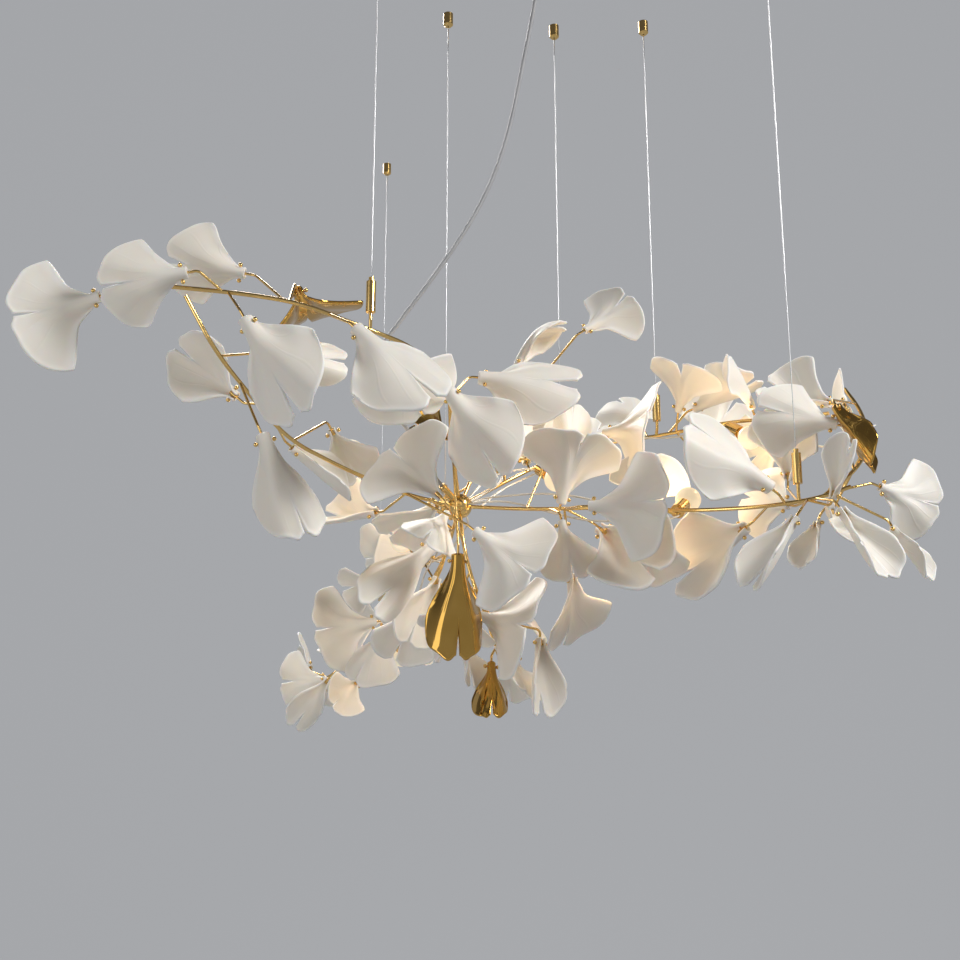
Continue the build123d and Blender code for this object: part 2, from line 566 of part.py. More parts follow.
# Suspension: anchors, wires, grippers, stubs and plungers.
anchors = []
wires = []
grippers = []
stubs = []
up = (Align.CENTER, Align.CENTER, Align.MIN)
down = (Align.CENTER, Align.CENTER, Align.MAX)
for number, (branch, place, (x, y)) in enumerate(WIRES, 1):
    root = paths[branch] @ place
    foot = root.Z + BRANCH_R + GRIPPER_STUB_LENGTH
    top = foot + GRIPPER_LENGTH
    knee = (x, y, root.Z + 0.5 * (BRANCH_R + GRIPPER_STUB_LENGTH))
    stub = rod(path_of([tuple(root), knee, (x, y, foot)], STEM_BEND_R), GRIPPER_STUB_R)
    stubs.append(only(stub - branches[branch]))
    gripper = Pos(x, y, foot) * Cylinder(GRIPPER_R, GRIPPER_LENGTH, align=up)
    gripper = gripper - Pos(x, y, foot + GRIPPER_FLOOR) * Cylinder(GRIPPER_BORE_R, GRIPPER_LENGTH, align=up)
    gripper = gripper - Pos(x, y, top) * Cylinder(PLUNGER_BORE_R, PLUNGER_ROOM, align=down)
    outlet = Plane((x, y, foot + GRIPPER_FLOOR + 1.5), z_dir=(0, 1, 0))
    gripper = gripper - outlet * Cylinder(GRIPPER_OUTLET_R, 2 * GRIPPER_R, align=up)
    grippers.append(gripper)
    plunger = Pos(x, y, top - PLUNGER_DEPTH) * Cylinder(PLUNGER_R, PLUNGER_DEPTH + PLUNGER_OUT, align=up)
    plunger = plunger - Pos(x, y, foot) * Cylinder(GRIPPER_BORE_R, 2 * GRIPPER_LENGTH, align=up)
    node(f"gripper_plunger_{number}", [plunger])
    anchor = Pos(x, y, 0) * Cylinder(ANCHOR_R, ANCHOR_BASE, align=down)
    anchor = anchor + Pos(x, y, -ANCHOR_BASE) * Cylinder(ANCHOR_BOSS_R, ANCHOR_BOSS, align=down)
    anchor = anchor - Pos(x, y, 0) * Cylinder(ANCHOR_HOLE_R, ANCHOR_BASE + ANCHOR_BOSS, align=down)
    cap = Pos(x, y, -ANCHOR_BASE) * Cylinder(ANCHOR_R, ANCHOR_LENGTH - ANCHOR_BASE, align=down)
    cap = cap - Pos(x, y, -ANCHOR_BASE) * Cylinder(ANCHOR_ROOM_R, ANCHOR_FLOOR - ANCHOR_BASE, align=down)
    cap = cap - Pos(x, y, 0) * Cylinder(ANCHOR_WIRE_HOLE_R, ANCHOR_LENGTH, align=down)
    rim = cap.faces().sort_by(Axis.Z)[0].edges().sort_by(SortBy.LENGTH)[-1]
    cap = chamfer(rim, length=ANCHOR_R / 3)
    anchors.extend([anchor, cap])
    ball_z = -ANCHOR_FLOOR + WIRE_BALL_R
    wire = Pos(x, y, ball_z) * Cylinder(WIRE_R, ball_z - foot - WIRE_END, align=down)
    wires.append(wire + Pos(x, y, ball_z) * Sphere(WIRE_BALL_R))
node("ceiling_anchors", anchors)
node("suspension_wires", wires)
node("gripper_bodies", grippers)
node("gripper_stubs", stubs)

# Ceiling rose.
cup = Cylinder(ROSE_R, ROSE_H, align=down)
cup = cup - Cylinder(ROSE_R - ROSE_WALL, ROSE_H - ROSE_WALL, align=down)
cup = cup - Cylinder(GRIP_BARREL_R + 0.2, 2 * ROSE_H, align=down)
bracket = Box(BRACKET_LENGTH, BRACKET_WIDTH, BRACKET_T, align=down)
for side in (1, -1):
    tab_x = side * (BRACKET_LENGTH / 2 - BRACKET_T / 2)
    bracket = bracket + Pos(tab_x, 0, 0) * Box(BRACKET_T, BRACKET_WIDTH, BRACKET_TAB, align=down)
screws = []
for side in (1, -1):
    slot = SlotOverall(SLOT_LENGTH, 2 * SLOT_R)
    bracket = bracket - Pos(side * SLOT_SPACING / 2, 0, 0) * extrude(slot, amount=-2 * BRACKET_T)
    tap = Plane((0, 0, -ROSE_SCREW_DROP), z_dir=(side, 0, 0))
    drill = tap * Pos(0, 0, ROSE_R / 2) * Cylinder(ROSE_SCREW_HOLE_R, ROSE_R, align=up)
    bracket = bracket - drill
    cup = cup - drill
    inner = BRACKET_LENGTH / 2 - 2 * BRACKET_T
    shank = tap * Pos(0, 0, inner) * Cylinder(ROSE_SCREW_R, ROSE_R - inner, align=up)
    screws.append(shank + tap * Pos(0, 0, ROSE_R) * Cylinder(ROSE_SCREW_HEAD_R, ROSE_SCREW_HEAD, align=up))
node("rose_cup", [cup])
node("rose_bracket", [bracket])
node("rose_screws", screws)

block = Pos(0, 0, -BRACKET_T) * Box(BLOCK_LENGTH, BLOCK_WIDTH, BLOCK_H, align=down)
for step in (-1, 0, 1):
    entry = Plane((step * BLOCK_PITCH, 0, -BRACKET_T - BLOCK_H / 2), z_dir=(0, 1, 0))
    block = block - entry * Cylinder(BLOCK_HOLE_R, 2 * BLOCK_WIDTH)
node("terminal_block", [block])

# Power cord and its grips.
grip = Pos(0, 0, -ROSE_H) * Cylinder(GRIP_FLANGE_R, GRIP_FLANGE, align=down)
grip = grip + Pos(0, 0, -GRIP_TOP) * Cylinder(GRIP_BARREL_R, ROSE_H - GRIP_TOP, align=down)
nut_z = -ROSE_H + ROSE_WALL
grip = grip + Pos(0, 0, nut_z) * Cylinder(GRIP_FLANGE_R, GRIP_NUT, align=up)
grip = grip - Cylinder(GRIP_BORE_R, 2 * ROSE_H, align=down)
node("rose_cord_grip", [grip])

grip_axis = Vector(*HUB_GRIP_AXIS).normalized()
grip_plane = Plane(origin=HUB, z_dir=grip_axis)
hub_grip = Cylinder(HUB_GRIP_R, HUB_GRIP_END, align=up) - Sphere(HUB_R)
hub_grip = hub_grip - Pos(0, 0, HUB_GRIP_FLOOR) * Cylinder(GRIP_BORE_R, HUB_GRIP_END, align=up)
node("hub_cord_grip", [grip_plane * hub_grip])

cord_top = (0, 0, -CORD_TOP)
cord_exit = (0, 0, -ROSE_H - GRIP_FLANGE - 4)
cord_lead = tuple(hub_centre + grip_axis * (HUB_GRIP_END + 2))
cord_end = tuple(hub_centre + grip_axis * CORD_END)
cord_points = [cord_top, cord_exit] + CORD_POINTS + [cord_lead, cord_end]
cord_path = path_of(cord_points)
cord = rod(cord_path, CORD_R)
node("power_cord", [cord])
print("smallest bend of each lamp cable", cable_radii)
print("cord length", round(cord_path.length, 1))
print("cord bend radii", [round(r) for r in bend_radii(cord_points, 10000.0)])
cord_share = cord.volume / (math.pi * CORD_R**2 * cord_path.length)
print("cord volume over section times length", round(cord_share, 4))
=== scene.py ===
"""Porcelain leaf chandelier: leaves, lamps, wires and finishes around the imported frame."""

from __future__ import annotations

import functools
import json
import logging
import math
from dataclasses import dataclass
from enum import Enum

import bpy
import numpy as np
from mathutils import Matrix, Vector


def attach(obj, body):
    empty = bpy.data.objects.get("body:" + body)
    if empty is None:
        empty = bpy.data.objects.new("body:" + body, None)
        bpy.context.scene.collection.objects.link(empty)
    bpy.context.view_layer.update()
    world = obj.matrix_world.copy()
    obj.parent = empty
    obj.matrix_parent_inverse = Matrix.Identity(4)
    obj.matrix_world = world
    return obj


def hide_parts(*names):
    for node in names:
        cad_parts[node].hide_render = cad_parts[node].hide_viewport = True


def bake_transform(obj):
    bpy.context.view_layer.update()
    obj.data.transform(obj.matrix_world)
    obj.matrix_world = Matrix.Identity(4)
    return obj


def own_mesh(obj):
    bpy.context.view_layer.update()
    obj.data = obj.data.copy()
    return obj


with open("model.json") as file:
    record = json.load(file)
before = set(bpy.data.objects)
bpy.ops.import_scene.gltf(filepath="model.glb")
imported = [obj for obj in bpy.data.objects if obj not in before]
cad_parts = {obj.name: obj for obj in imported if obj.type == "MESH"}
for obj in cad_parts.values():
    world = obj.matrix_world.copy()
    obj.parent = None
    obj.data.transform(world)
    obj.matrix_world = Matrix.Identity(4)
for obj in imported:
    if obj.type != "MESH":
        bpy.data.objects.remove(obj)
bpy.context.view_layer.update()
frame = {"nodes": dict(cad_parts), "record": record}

log = logging.getLogger("chandelier")

MM = 0.001
SMALL = 0.80
MEDIUM = 1.00
LARGE = 1.28
HUB = np.array([-105.0, 130.0, -745.0])
HUB_R = 16.0
IMAGE_SIZE = 960
FOCAL_PIXELS = 1300.0
SENSOR_MM = 36.0
CAMERA_PLACE = (-0.079, -1.480, -1.115)
CAMERA_PITCH = 14.1
# A direction that no route runs along.
SKEW = np.array([0.35, 0.55, 0.76])
WHITE = (1.0, 1.0, 1.0, 1.0)

Array = np.ndarray
Object = bpy.types.Object
Material = bpy.types.Material
Socket = bpy.types.NodeSocket
Point = tuple[float, float, float]
Colour = tuple[float, float, float]


def smooth(start: float, end: float, x: Array) -> Array:
    """Smooth step: 3t^2 - 2t^3 of the clipped share t of the way from start to end.

    Args:
        start: Value of x where the step begins.
        end: Value of x where the step is complete.
        x: Values to map.

    Returns:
        Values from 0 to 1.
    """
    t = np.clip((x - start) / (end - start), 0.0, 1.0)
    return t * t * (3.0 - 2.0 * t)


def to_one(span: tuple[float, float], x: Array) -> Array:
    """Smooth step over a span that may end past 1, scaled so that it is 1 at x = 1."""
    return smooth(*span, x) / smooth(*span, np.array(1.0))


def bell(x: Array, width: float) -> Array:
    """Bell curve: exp(-(x / width)^2)."""
    return np.exp(-((x / width) ** 2))


def eased(count: int, share: float = 0.45) -> Array:
    """Steps from 0 to 1 that lie closer together near both ends.

    Args:
        count: Number of steps.
        share: Share of cosine spacing in the mix with even spacing.

    Returns:
        The steps as one array.
    """
    t = np.linspace(0.0, 1.0, count)
    return (1.0 - share) * t + share * (0.5 - 0.5 * np.cos(np.pi * t))


def unit(v: Array) -> Array:
    """Vectors of length one along the last axis."""
    return v / np.maximum(np.linalg.norm(v, axis=-1, keepdims=True), 1e-12)


def heading(azimuth: float, elevation: float) -> Array:
    """Unit vector of an azimuth and an elevation in degrees."""
    a, e = np.radians([azimuth, elevation])
    return np.array([np.cos(e) * np.cos(a), np.cos(e) * np.sin(a), np.sin(e)])


def grid_quads(ids: Array) -> Array:
    """Quads of a grid of point numbers; a pole, where a row is one point, gives triangles.

    Args:
        ids: Point numbers, rows by columns.

    Returns:
        Rows of four numbers; a triangle repeats its last one.
    """
    q = np.stack([ids[:-1, :-1], ids[1:, :-1], ids[1:, 1:], ids[:-1, 1:]], axis=-1).reshape(-1, 4)
    q = np.where((q[:, :1] == q[:, 3:]), q[:, [0, 1, 2, 2]], q)
    return np.where((q[:, 1:2] == q[:, 2:3]), q[:, [0, 1, 3, 3]], q)


def add_object(name: str, data: bpy.types.ID) -> Object:
    """New object that holds the data, in the scene."""
    obj = bpy.data.objects.new(name, data)
    bpy.context.scene.collection.objects.link(obj)
    return obj


@dataclass
class Skin:
    """Arrays of one mesh: points in millimetres, quads, and values carried by the points."""

    points: Array
    quads: Array
    uv: Array
    rim: Array

    @staticmethod
    def joined(skins: list[Skin]) -> Skin:
        """One skin made of several, in their order."""
        starts = np.concatenate([[0], np.cumsum([len(s.points) for s in skins])[:-1]])
        return Skin(
            np.concatenate([s.points for s in skins]),
            np.concatenate([s.quads + start for s, start in zip(skins, starts)]),
            np.concatenate([s.uv for s in skins]),
            np.concatenate([s.rim for s in skins]),
        )

    @staticmethod
    def lathe(profile: list[tuple[float, float]], segments: int) -> Skin:
        """Surface of revolution round Z: (r cos a, r sin a, z) for a profile listed from top to bottom.

        Args:
            profile: Radius and height of each ring; a radius of 0 makes a pole.
            segments: Number of steps round the axis.

        Returns:
            The closed surface, facing outwards.
        """
        r, z = np.array(profile, float).T
        a = np.linspace(0.0, 2.0 * np.pi, segments + 1)
        circle = np.stack([np.cos(a), np.sin(a), np.ones_like(a)], axis=-1)
        points = np.stack([r, r, z], axis=-1)[:, None] * circle
        steps = np.abs(np.diff(z, prepend=z[0])) + np.abs(np.diff(r, prepend=r[0]))
        return Skin.revolved(points, steps, a, r > 0)

    @staticmethod
    def tube(path: Array, radius: float, segments: int) -> Skin:
        """Circle carried along a path: path + radius (A cos a + B sin a), with A and B square to the path.

        Args:
            path: Points of the middle line.
            radius: Radius of the circle.
            segments: Number of steps round the path.

        Returns:
            The tube with closed ends, facing outwards.
        """
        along = unit(np.gradient(path, axis=0))
        first = unit(np.cross(along, SKEW))
        second = np.cross(first, along)
        a = np.linspace(0.0, 2.0 * np.pi, segments + 1)
        ring = first[:, None] * np.cos(a)[None, :, None] + second[:, None] * np.sin(a)[None, :, None]
        body = path[:, None] + radius * ring
        ends = np.repeat(path[[0, -1]][:, None], segments + 1, axis=1)
        points = np.concatenate([ends[:1], body, ends[1:]])
        steps = np.concatenate([[0, radius], np.linalg.norm(np.diff(path, axis=0), axis=1), [radius]])
        solid = np.ones(len(points), dtype=bool)
        solid[[0, -1]] = False
        return Skin.revolved(points, steps, a, solid)

    @staticmethod
    def revolved(points: Array, steps: Array, a: Array, solid: Array) -> Skin:
        """Closes rings into a skin: the last column joins the first, and a ring that isn't solid is a pole.

        Args:
            points: Grid of points, rings by steps round.
            steps: Distance of each ring from the one before it.
            a: Angle of each column.
            solid: Whether each ring has a size.

        Returns:
            The skin, with UV as turns round and metres along.
        """
        rows, columns = points.shape[:2]
        ids = np.arange(rows * columns).reshape(rows, columns)
        ids[:, -1] = ids[:, 0]
        ids = np.where(solid[:, None], ids, ids[:, :1])
        v = np.cumsum(steps) * MM
        uv = np.stack(np.broadcast_arrays(a[None, :] / (2.0 * np.pi), v[:, None]), axis=-1)
        return Skin(points.reshape(-1, 3), grid_quads(ids), uv.reshape(-1, 2), np.zeros(rows * columns))

    def placed(self, origin: Array, axes: Array) -> Skin:
        """The skin turned so that its axes are the columns of axes, with its origin moved."""
        return Skin(np.asarray(origin, float) + self.points @ axes.T, self.quads, self.uv, self.rim)

    def to_object(self, name: str) -> Object:
        """Puts the arrays into a mesh object at the origin, in metres, without unused points.

        Args:
            name: Name of the piece.

        Returns:
            The new object, shaded smooth.
        """
        used, quads = np.unique(self.quads, return_inverse=True)
        quads = quads.reshape(-1, 4)
        four = quads[:, 2] != quads[:, 3]
        keep = np.ones(quads.shape, dtype=bool)
        keep[:, 3] = four
        loops = quads[keep]
        sizes = keep.sum(axis=1)
        mesh = bpy.data.meshes.new(name)
        mesh.vertices.add(len(used))
        mesh.vertices.foreach_set("co", (self.points[used] * MM).astype(np.float32).ravel())
        mesh.loops.add(len(loops))
        mesh.loops.foreach_set("vertex_index", loops.astype(np.int32))
        mesh.polygons.add(len(sizes))
        mesh.polygons.foreach_set("loop_start", (np.cumsum(sizes) - sizes).astype(np.int32))
        mesh.polygons.foreach_set("use_smooth", np.ones(len(sizes), dtype=bool))
        mesh.update(calc_edges=True)
        uv = mesh.uv_layers.new(name="UVMap")
        uv.data.foreach_set("uv", self.uv[used][loops].astype(np.float32).ravel())
        # The rim value also masks where a finish paints its rim highlight.
        rim = mesh.attributes.new("rim", "FLOAT", "POINT")
        rim.data.foreach_set("value", self.rim[used].astype(np.float32))
        mesh.validate()
        return add_object(name, mesh)


@dataclass(frozen=True)
class LeafForm:
    """Shape of a moulded leaf of 100 mm, in millimetres, radians for the curl and degrees for the bend."""

    rim_angle: float
    bend: float
    half_width: float
    set_back: float
    corner: float
    flare: float


class Form(Enum):
    """The five leaf moulds."""

    FAN = LeafForm(0.62, -34.0, 74.0, 0.36, 7.0, 1.00)
    CUP = LeafForm(1.10, 18.0, 60.0, 0.34, 6.0, 0.60)
    SPADE = LeafForm(0.95, 6.0, 50.0, 0.38, 8.0, 0.25)
    TULIP = LeafForm(1.40, 8.0, 38.0, 0.25, 6.0, 0.15)
    HORN = LeafForm(0.90, 75.0, 40.0, 0.26, 6.0, 0.20)


FAN, CUP, SPADE, TULIP, HORN = Form
LeafRow = tuple[Point, float, float, float, float, Form]


@dataclass(frozen=True)
class Leaf:
    """One leaf: neck end in millimetres, angles of its axis and hollow side in degrees, size and form.

    Pairs are spans, as shares of the way from neck to rim or from the middle to an edge. The name of a
    value that multiplies a phase or a place inside a sine ends in TURN.
    """

    neck: Point
    swing: float
    front: float
    roll: float
    size: float
    form: Form

    LENGTH = 100.0
    WALL = 2.2
    NECK_HALF_WIDTH = 13.0
    NECK_HALF_ANGLE = 2.45
    ROWS = 40
    FLAT_COLUMNS = 17
    FLAT_POWER = 1.2
    CORNER_COLUMNS = 11
    NORMAL_STEP = 0.002
    SPINE_STEPS = 221
    SPINE_REACH = 1.1
    BEND = (0.1, 1.25)
    WING = (0.52, 1.05)
    WING_POWER = 1.6
    EARLY_SHARE = 0.45
    EARLY_POWER = 2.2
    SPREAD = (0.03, 0.97)
    UNROLL = (0.02, 0.72)
    UNROLL_POWER = 1.3
    REACH = 0.985
    SET_BACK_POWER = 1.9
    NOTCH = 0.055
    NOTCH_WIDTH = 0.11
    SCALLOP = 0.016
    SCALLOP_TURN = 8.0
    SCALLOP_SPAN = (0.1, 0.4)
    LEAN = 0.035
    LEAN_TURN = 2.1
    ROUNDING = 1.8
    ROUND_FROM = 0.74
    PINCH = 0.07
    PINCH_POWER = 10
    SLIT_START = 0.64
    SLIT_HALF_GAP = 3.2
    GAP_CHANGE = 0.45
    GAP_TURN = 1.7
    GAP_WIDTH = 0.3
    LOBE_LIFT = 1.8
    LIFT_TURN = 1.3
    LIFT_WIDTH = 0.45
    RIPPLE = 2.2
    RIPPLE_POWER = 3
    RIPPLE_TURN = 4.5
    RIPPLE_SPAN = (0.1, 0.5)
    PILLOW = 2.6
    SWELL = (0.2, 0.6)
    SWELL_END = (0.8, 1.0)
    SWELL_DROP = 0.4
    LIP = 0.35
    RIM_ALONG = (0.94, 1.0)
    RIM_ACROSS = (0.93, 1.0)
    SLIT_RIM = (0.06, 0.0)
    SLIT_RIM_FULL = 0.75
    RIM_ROUND = 0.7

    def axes(self) -> Array:
        """Columns: along the leaf, across it, and to its hollow side."""
        a, t, r = np.radians([self.swing, self.front, self.roll])
        along = np.array([np.cos(t) * np.cos(a), -np.sin(t), np.cos(t) * np.sin(a)])
        facing = unit(np.array([0.0, -1.0, 0.0]) + along * along[1])
        hollow = np.cos(r) * facing + np.sin(r) * np.cross(facing, along)
        return np.stack([along, np.cross(hollow, along), hollow], axis=1)

    def spine(self) -> tuple[Array, Array, Array, Array]:
        """Middle line, bent by a smooth angle: distances along it, its slopes, and its x and z."""
        line = np.linspace(0.0, self.SPINE_REACH * self.LENGTH, self.SPINE_STEPS)
        slope = np.radians(self.form.value.bend) * to_one(self.BEND, line / self.LENGTH)
        mean = 0.5 * (slope[1:] + slope[:-1])
        x = np.concatenate([[0.0], np.cumsum(np.cos(mean)) * line[1]])
        z = np.concatenate([[0.0], np.cumsum(np.sin(mean)) * line[1]])
        return line, slope, x, z

    def half_width(self, u: Array) -> Array:
        """Half width of the flat fan at places from neck to rim."""
        f = self.form.value
        wing = to_one(self.WING, u) ** self.WING_POWER
        late = self.EARLY_SHARE * u**self.EARLY_POWER + (1.0 - self.EARLY_SHARE) * wing
        spread = f.flare * late + (1.0 - f.flare) * smooth(*self.SPREAD, u)
        return self.NECK_HALF_WIDTH + (f.half_width - self.NECK_HALF_WIDTH) * spread

    def reach(self, w: Array, wave: float) -> Array:
        """Length at places across: set back towards the edges, notched, scalloped and leaning."""
        back = self.form.value.set_back * np.abs(w) ** self.SET_BACK_POWER
        notch = self.NOTCH * bell(w, self.NOTCH_WIDTH)
        scallop = np.sin(self.SCALLOP_TURN * w + wave) * smooth(*self.SCALLOP_SPAN, np.abs(w))
        lean = self.LEAN * math.sin(self.LEAN_TURN * wave) * w
        return self.LENGTH * (self.REACH - back - notch + self.SCALLOP * scallop + lean)

    def middle(self, u: Array, w: Array, side: float, wave: float, edge: Array) -> Array:
        """Middle surface of one half: a flat fan rolled into an arc across and bent along its length.

        The half width grows from neck to rim, the arc's half angle falls from a tube to the open rim, and
        the middle line bends by a smooth angle. The slit parts the two halves and lifts one over the other,
        and each half swells by PILLOW (sin^2(pi w) - 1/2) away from the hollow side. No two leaves are
        quite alike: the wave leans the rim to one side and opens the slit more or less.

        Args:
            u: Places from neck to rim, as a column.
            w: Places from one edge to the other, as a row.
            side: -1 or 1, the half.
            wave: Phase of the rim's scallops in radians.
            edge: Places whose rounding of the corner is used, the same as w for the leaf itself.

        Returns:
            Points, rows by columns, in millimetres.
        """
        f = self.form.value
        half_width = self.half_width(u)
        unroll = (1.0 - smooth(*self.UNROLL, u)) ** self.UNROLL_POWER
        radius = half_width / (f.rim_angle + (self.NECK_HALF_ANGLE - f.rim_angle) * unroll)
        round_off = np.clip((np.abs(edge) - self.ROUND_FROM) / (1.0 - self.ROUND_FROM), 0.0, 1.0)
        corner = self.ROUNDING * f.corner * (1.0 - np.sqrt(1.0 - round_off**2))
        pinch = 1.0 - self.PINCH * round_off**2 * u**self.PINCH_POWER
        opening = smooth(self.SLIT_START, 1.0, u)
        widest = self.SLIT_HALF_GAP * (1.0 + self.GAP_CHANGE * math.sin(self.GAP_TURN * wave))
        gap = widest * opening * bell(w, self.GAP_WIDTH)
        angle = (w * half_width * pinch + side * gap) / radius
        lift = side * self.LOBE_LIFT * math.cos(self.LIFT_TURN * wave)
        ripple = np.sin(self.RIPPLE_TURN * w + wave) * smooth(*self.RIPPLE_SPAN, np.abs(w))
        swell = smooth(*self.SWELL, u) * (1.0 - self.SWELL_DROP * smooth(*self.SWELL_END, u))
        rise = radius - radius * np.cos(angle) + lift * opening * bell(w, self.LIFT_WIDTH)
        rise = rise + self.RIPPLE * u**self.RIPPLE_POWER * ripple
        rise = rise - self.PILLOW * (np.sin(np.pi * w) ** 2 - 0.5) * swell
        line, slope, x, z = self.spine()
        t = u * (self.reach(w, wave) - corner)
        b = np.interp(t, line, slope)
        tube = self.NECK_HALF_WIDTH / self.NECK_HALF_ANGLE
        return np.stack(
            [
                np.interp(t, line, x) - rise * np.sin(b),
                radius * np.sin(angle),
                np.interp(t, line, z) + rise * np.cos(b) - tube,
            ],
            axis=-1,
        )

    def half(self, u: Array, w: Array, side: float, wave: float) -> tuple[Array, Array]:
        """Points of one half and their normals, from small steps along and across the middle surface.

        Args:
            u: Places from neck to rim, as a column.
            w: Places from one edge to the other, as a row.
            side: -1 or 1, the half.
            wave: Phase of the rim's scallops in radians.

        Returns:
            Points and unit normals, rows by columns.
        """
        step = self.NORMAL_STEP
        ahead = self.middle(np.minimum(u + step, 1.0), w, side, wave, w)
        behind = self.middle(np.maximum(u - step, 0.0), w, side, wave, w)
        across = self.middle(u, w + step, side, wave, w) - self.middle(u, w - step, side, wave, w)
        return self.middle(u, w, side, wave, w), unit(np.cross(ahead - behind, across))

    def columns(self) -> Array:
        """Places from the middle to one edge: close at the slit, and even steps round the corner's arc."""
        share = np.linspace(0.0, 1.0, self.FLAT_COLUMNS, endpoint=False)
        flat = self.ROUND_FROM * share**self.FLAT_POWER
        turn = np.linspace(0.0, 0.5 * np.pi, self.CORNER_COLUMNS)
        return np.concatenate([flat, self.ROUND_FROM + (1.0 - self.ROUND_FROM) * np.sin(turn)])

    def skin(self, wave: float) -> Skin:
        """Leaf with a wall: two skins half a wall either side of the middle surface and a rounded rim.

        Args:
            wave: Phase of the rim's scallops in radians.

        Returns:
            The closed leaf in its place.
        """
        u = eased(self.ROWS)
        places = self.columns()
        half = len(places)
        w = np.concatenate([-places[::-1], places])
        left = self.half(u[:, None], w[None, :half], -1.0, wave)
        right = self.half(u[:, None], w[None, half:], 1.0, wave)
        p = np.concatenate([left[0], right[0]], axis=1)
        n = np.concatenate([left[1], right[1]], axis=1)
        cut = int(np.searchsorted(u, self.SLIT_START, side="right"))
        shared = unit(n[:cut, half - 1] + n[:cut, half])
        n[:cut, half - 1] = shared
        n[:cut, half] = shared
        ids = np.arange(p.shape[0] * p.shape[1]).reshape(p.shape[:2])
        ids[:cut, half] = ids[:cut, half - 1]

        slit = smooth(self.SLIT_START, self.SLIT_RIM_FULL, u)[:, None]
        slit = slit * smooth(*self.SLIT_RIM, np.abs(w))[None, :]
        across = smooth(*self.RIM_ACROSS, np.abs(w))[None, :]
        rim = np.maximum(np.maximum(smooth(*self.RIM_ALONG, u)[:, None], across), slit)
        wall = 0.5 * self.WALL * (1.0 + self.LIP * rim)
        front = p + n * wall[..., None]
        back = p - n * wall[..., None]

        last = 2 * half - 1
        loop = np.concatenate(
            [
                ids[:, 0],
                ids[-1, 1:half],
                ids[-2 : cut - 2 : -1, half - 1],
                ids[cut:, half],
                ids[-1, half + 1 :],
                ids[-2::-1, last],
                ids[0, last - 1 : half - 1 : -1],
                ids[0, half - 2 : 0 : -1],
            ]
        )
        flat_p = p.reshape(-1, 3)
        flat_n = n.reshape(-1, 3)
        run = np.roll(flat_p[loop], -1, axis=0) - np.roll(flat_p[loop], 1, axis=0)
        outward = unit(np.cross(run, flat_n[loop]))
        edge = flat_p[loop] + outward * (self.RIM_ROUND * wall.reshape(-1)[loop])[:, None]

        count = len(flat_p)
        rest = np.roll(loop, -1)
        ring = 2 * count + np.arange(len(loop))
        after = np.roll(ring, -1)
        inner = np.concatenate([grid_quads(ids[:, :half]), grid_quads(ids[:, half:])])
        quads = np.concatenate(
            [
                inner,
                inner[:, ::-1] + count,
                np.stack([rest, loop, ring, after], axis=1),
                np.stack([after, ring, loop + count, rest + count], axis=1),
            ]
        )
        uv = np.stack(np.broadcast_arrays(0.5 + 0.5 * w[None, :], u[:, None]), axis=-1).reshape(-1, 2)
        points = np.concatenate([front.reshape(-1, 3), back.reshape(-1, 3), edge]) * self.size
        # Rim values: they thicken the lip and mask the painted rim highlight; the rounded edge ring is
        # fully in it.
        values = np.concatenate([rim.ravel(), rim.ravel(), np.ones(len(loop))])
        whole = Skin(points, quads, np.concatenate([uv, uv, uv[loop]]), values)
        return whole.placed(np.array(self.neck), self.axes())


@dataclass(frozen=True)
class Spray:
    """Leaves that share a node, a material slot and an arm of the chandelier."""

    node: str
    slot: str
    leaves: tuple[Leaf, ...]

    WAVE_STEP = 2.4

    def build(self, material: Material) -> Object:
        """Makes the leaves as one piece that stands for the node.

        Args:
            material: Finish of the leaves.

        Returns:
            The piece, riding on the frame.
        """
        skins = [leaf.skin(self.WAVE_STEP * number) for number, leaf in enumerate(self.leaves)]
        piece = Skin.joined(skins).to_object(f"{self.node}_moulded")
        piece.data.materials.append(material)
        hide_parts(self.node)
        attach(piece, "frame")
        log.info("%s: %d leaves, %d faces", piece.name, len(self.leaves), len(piece.data.polygons))
        return piece


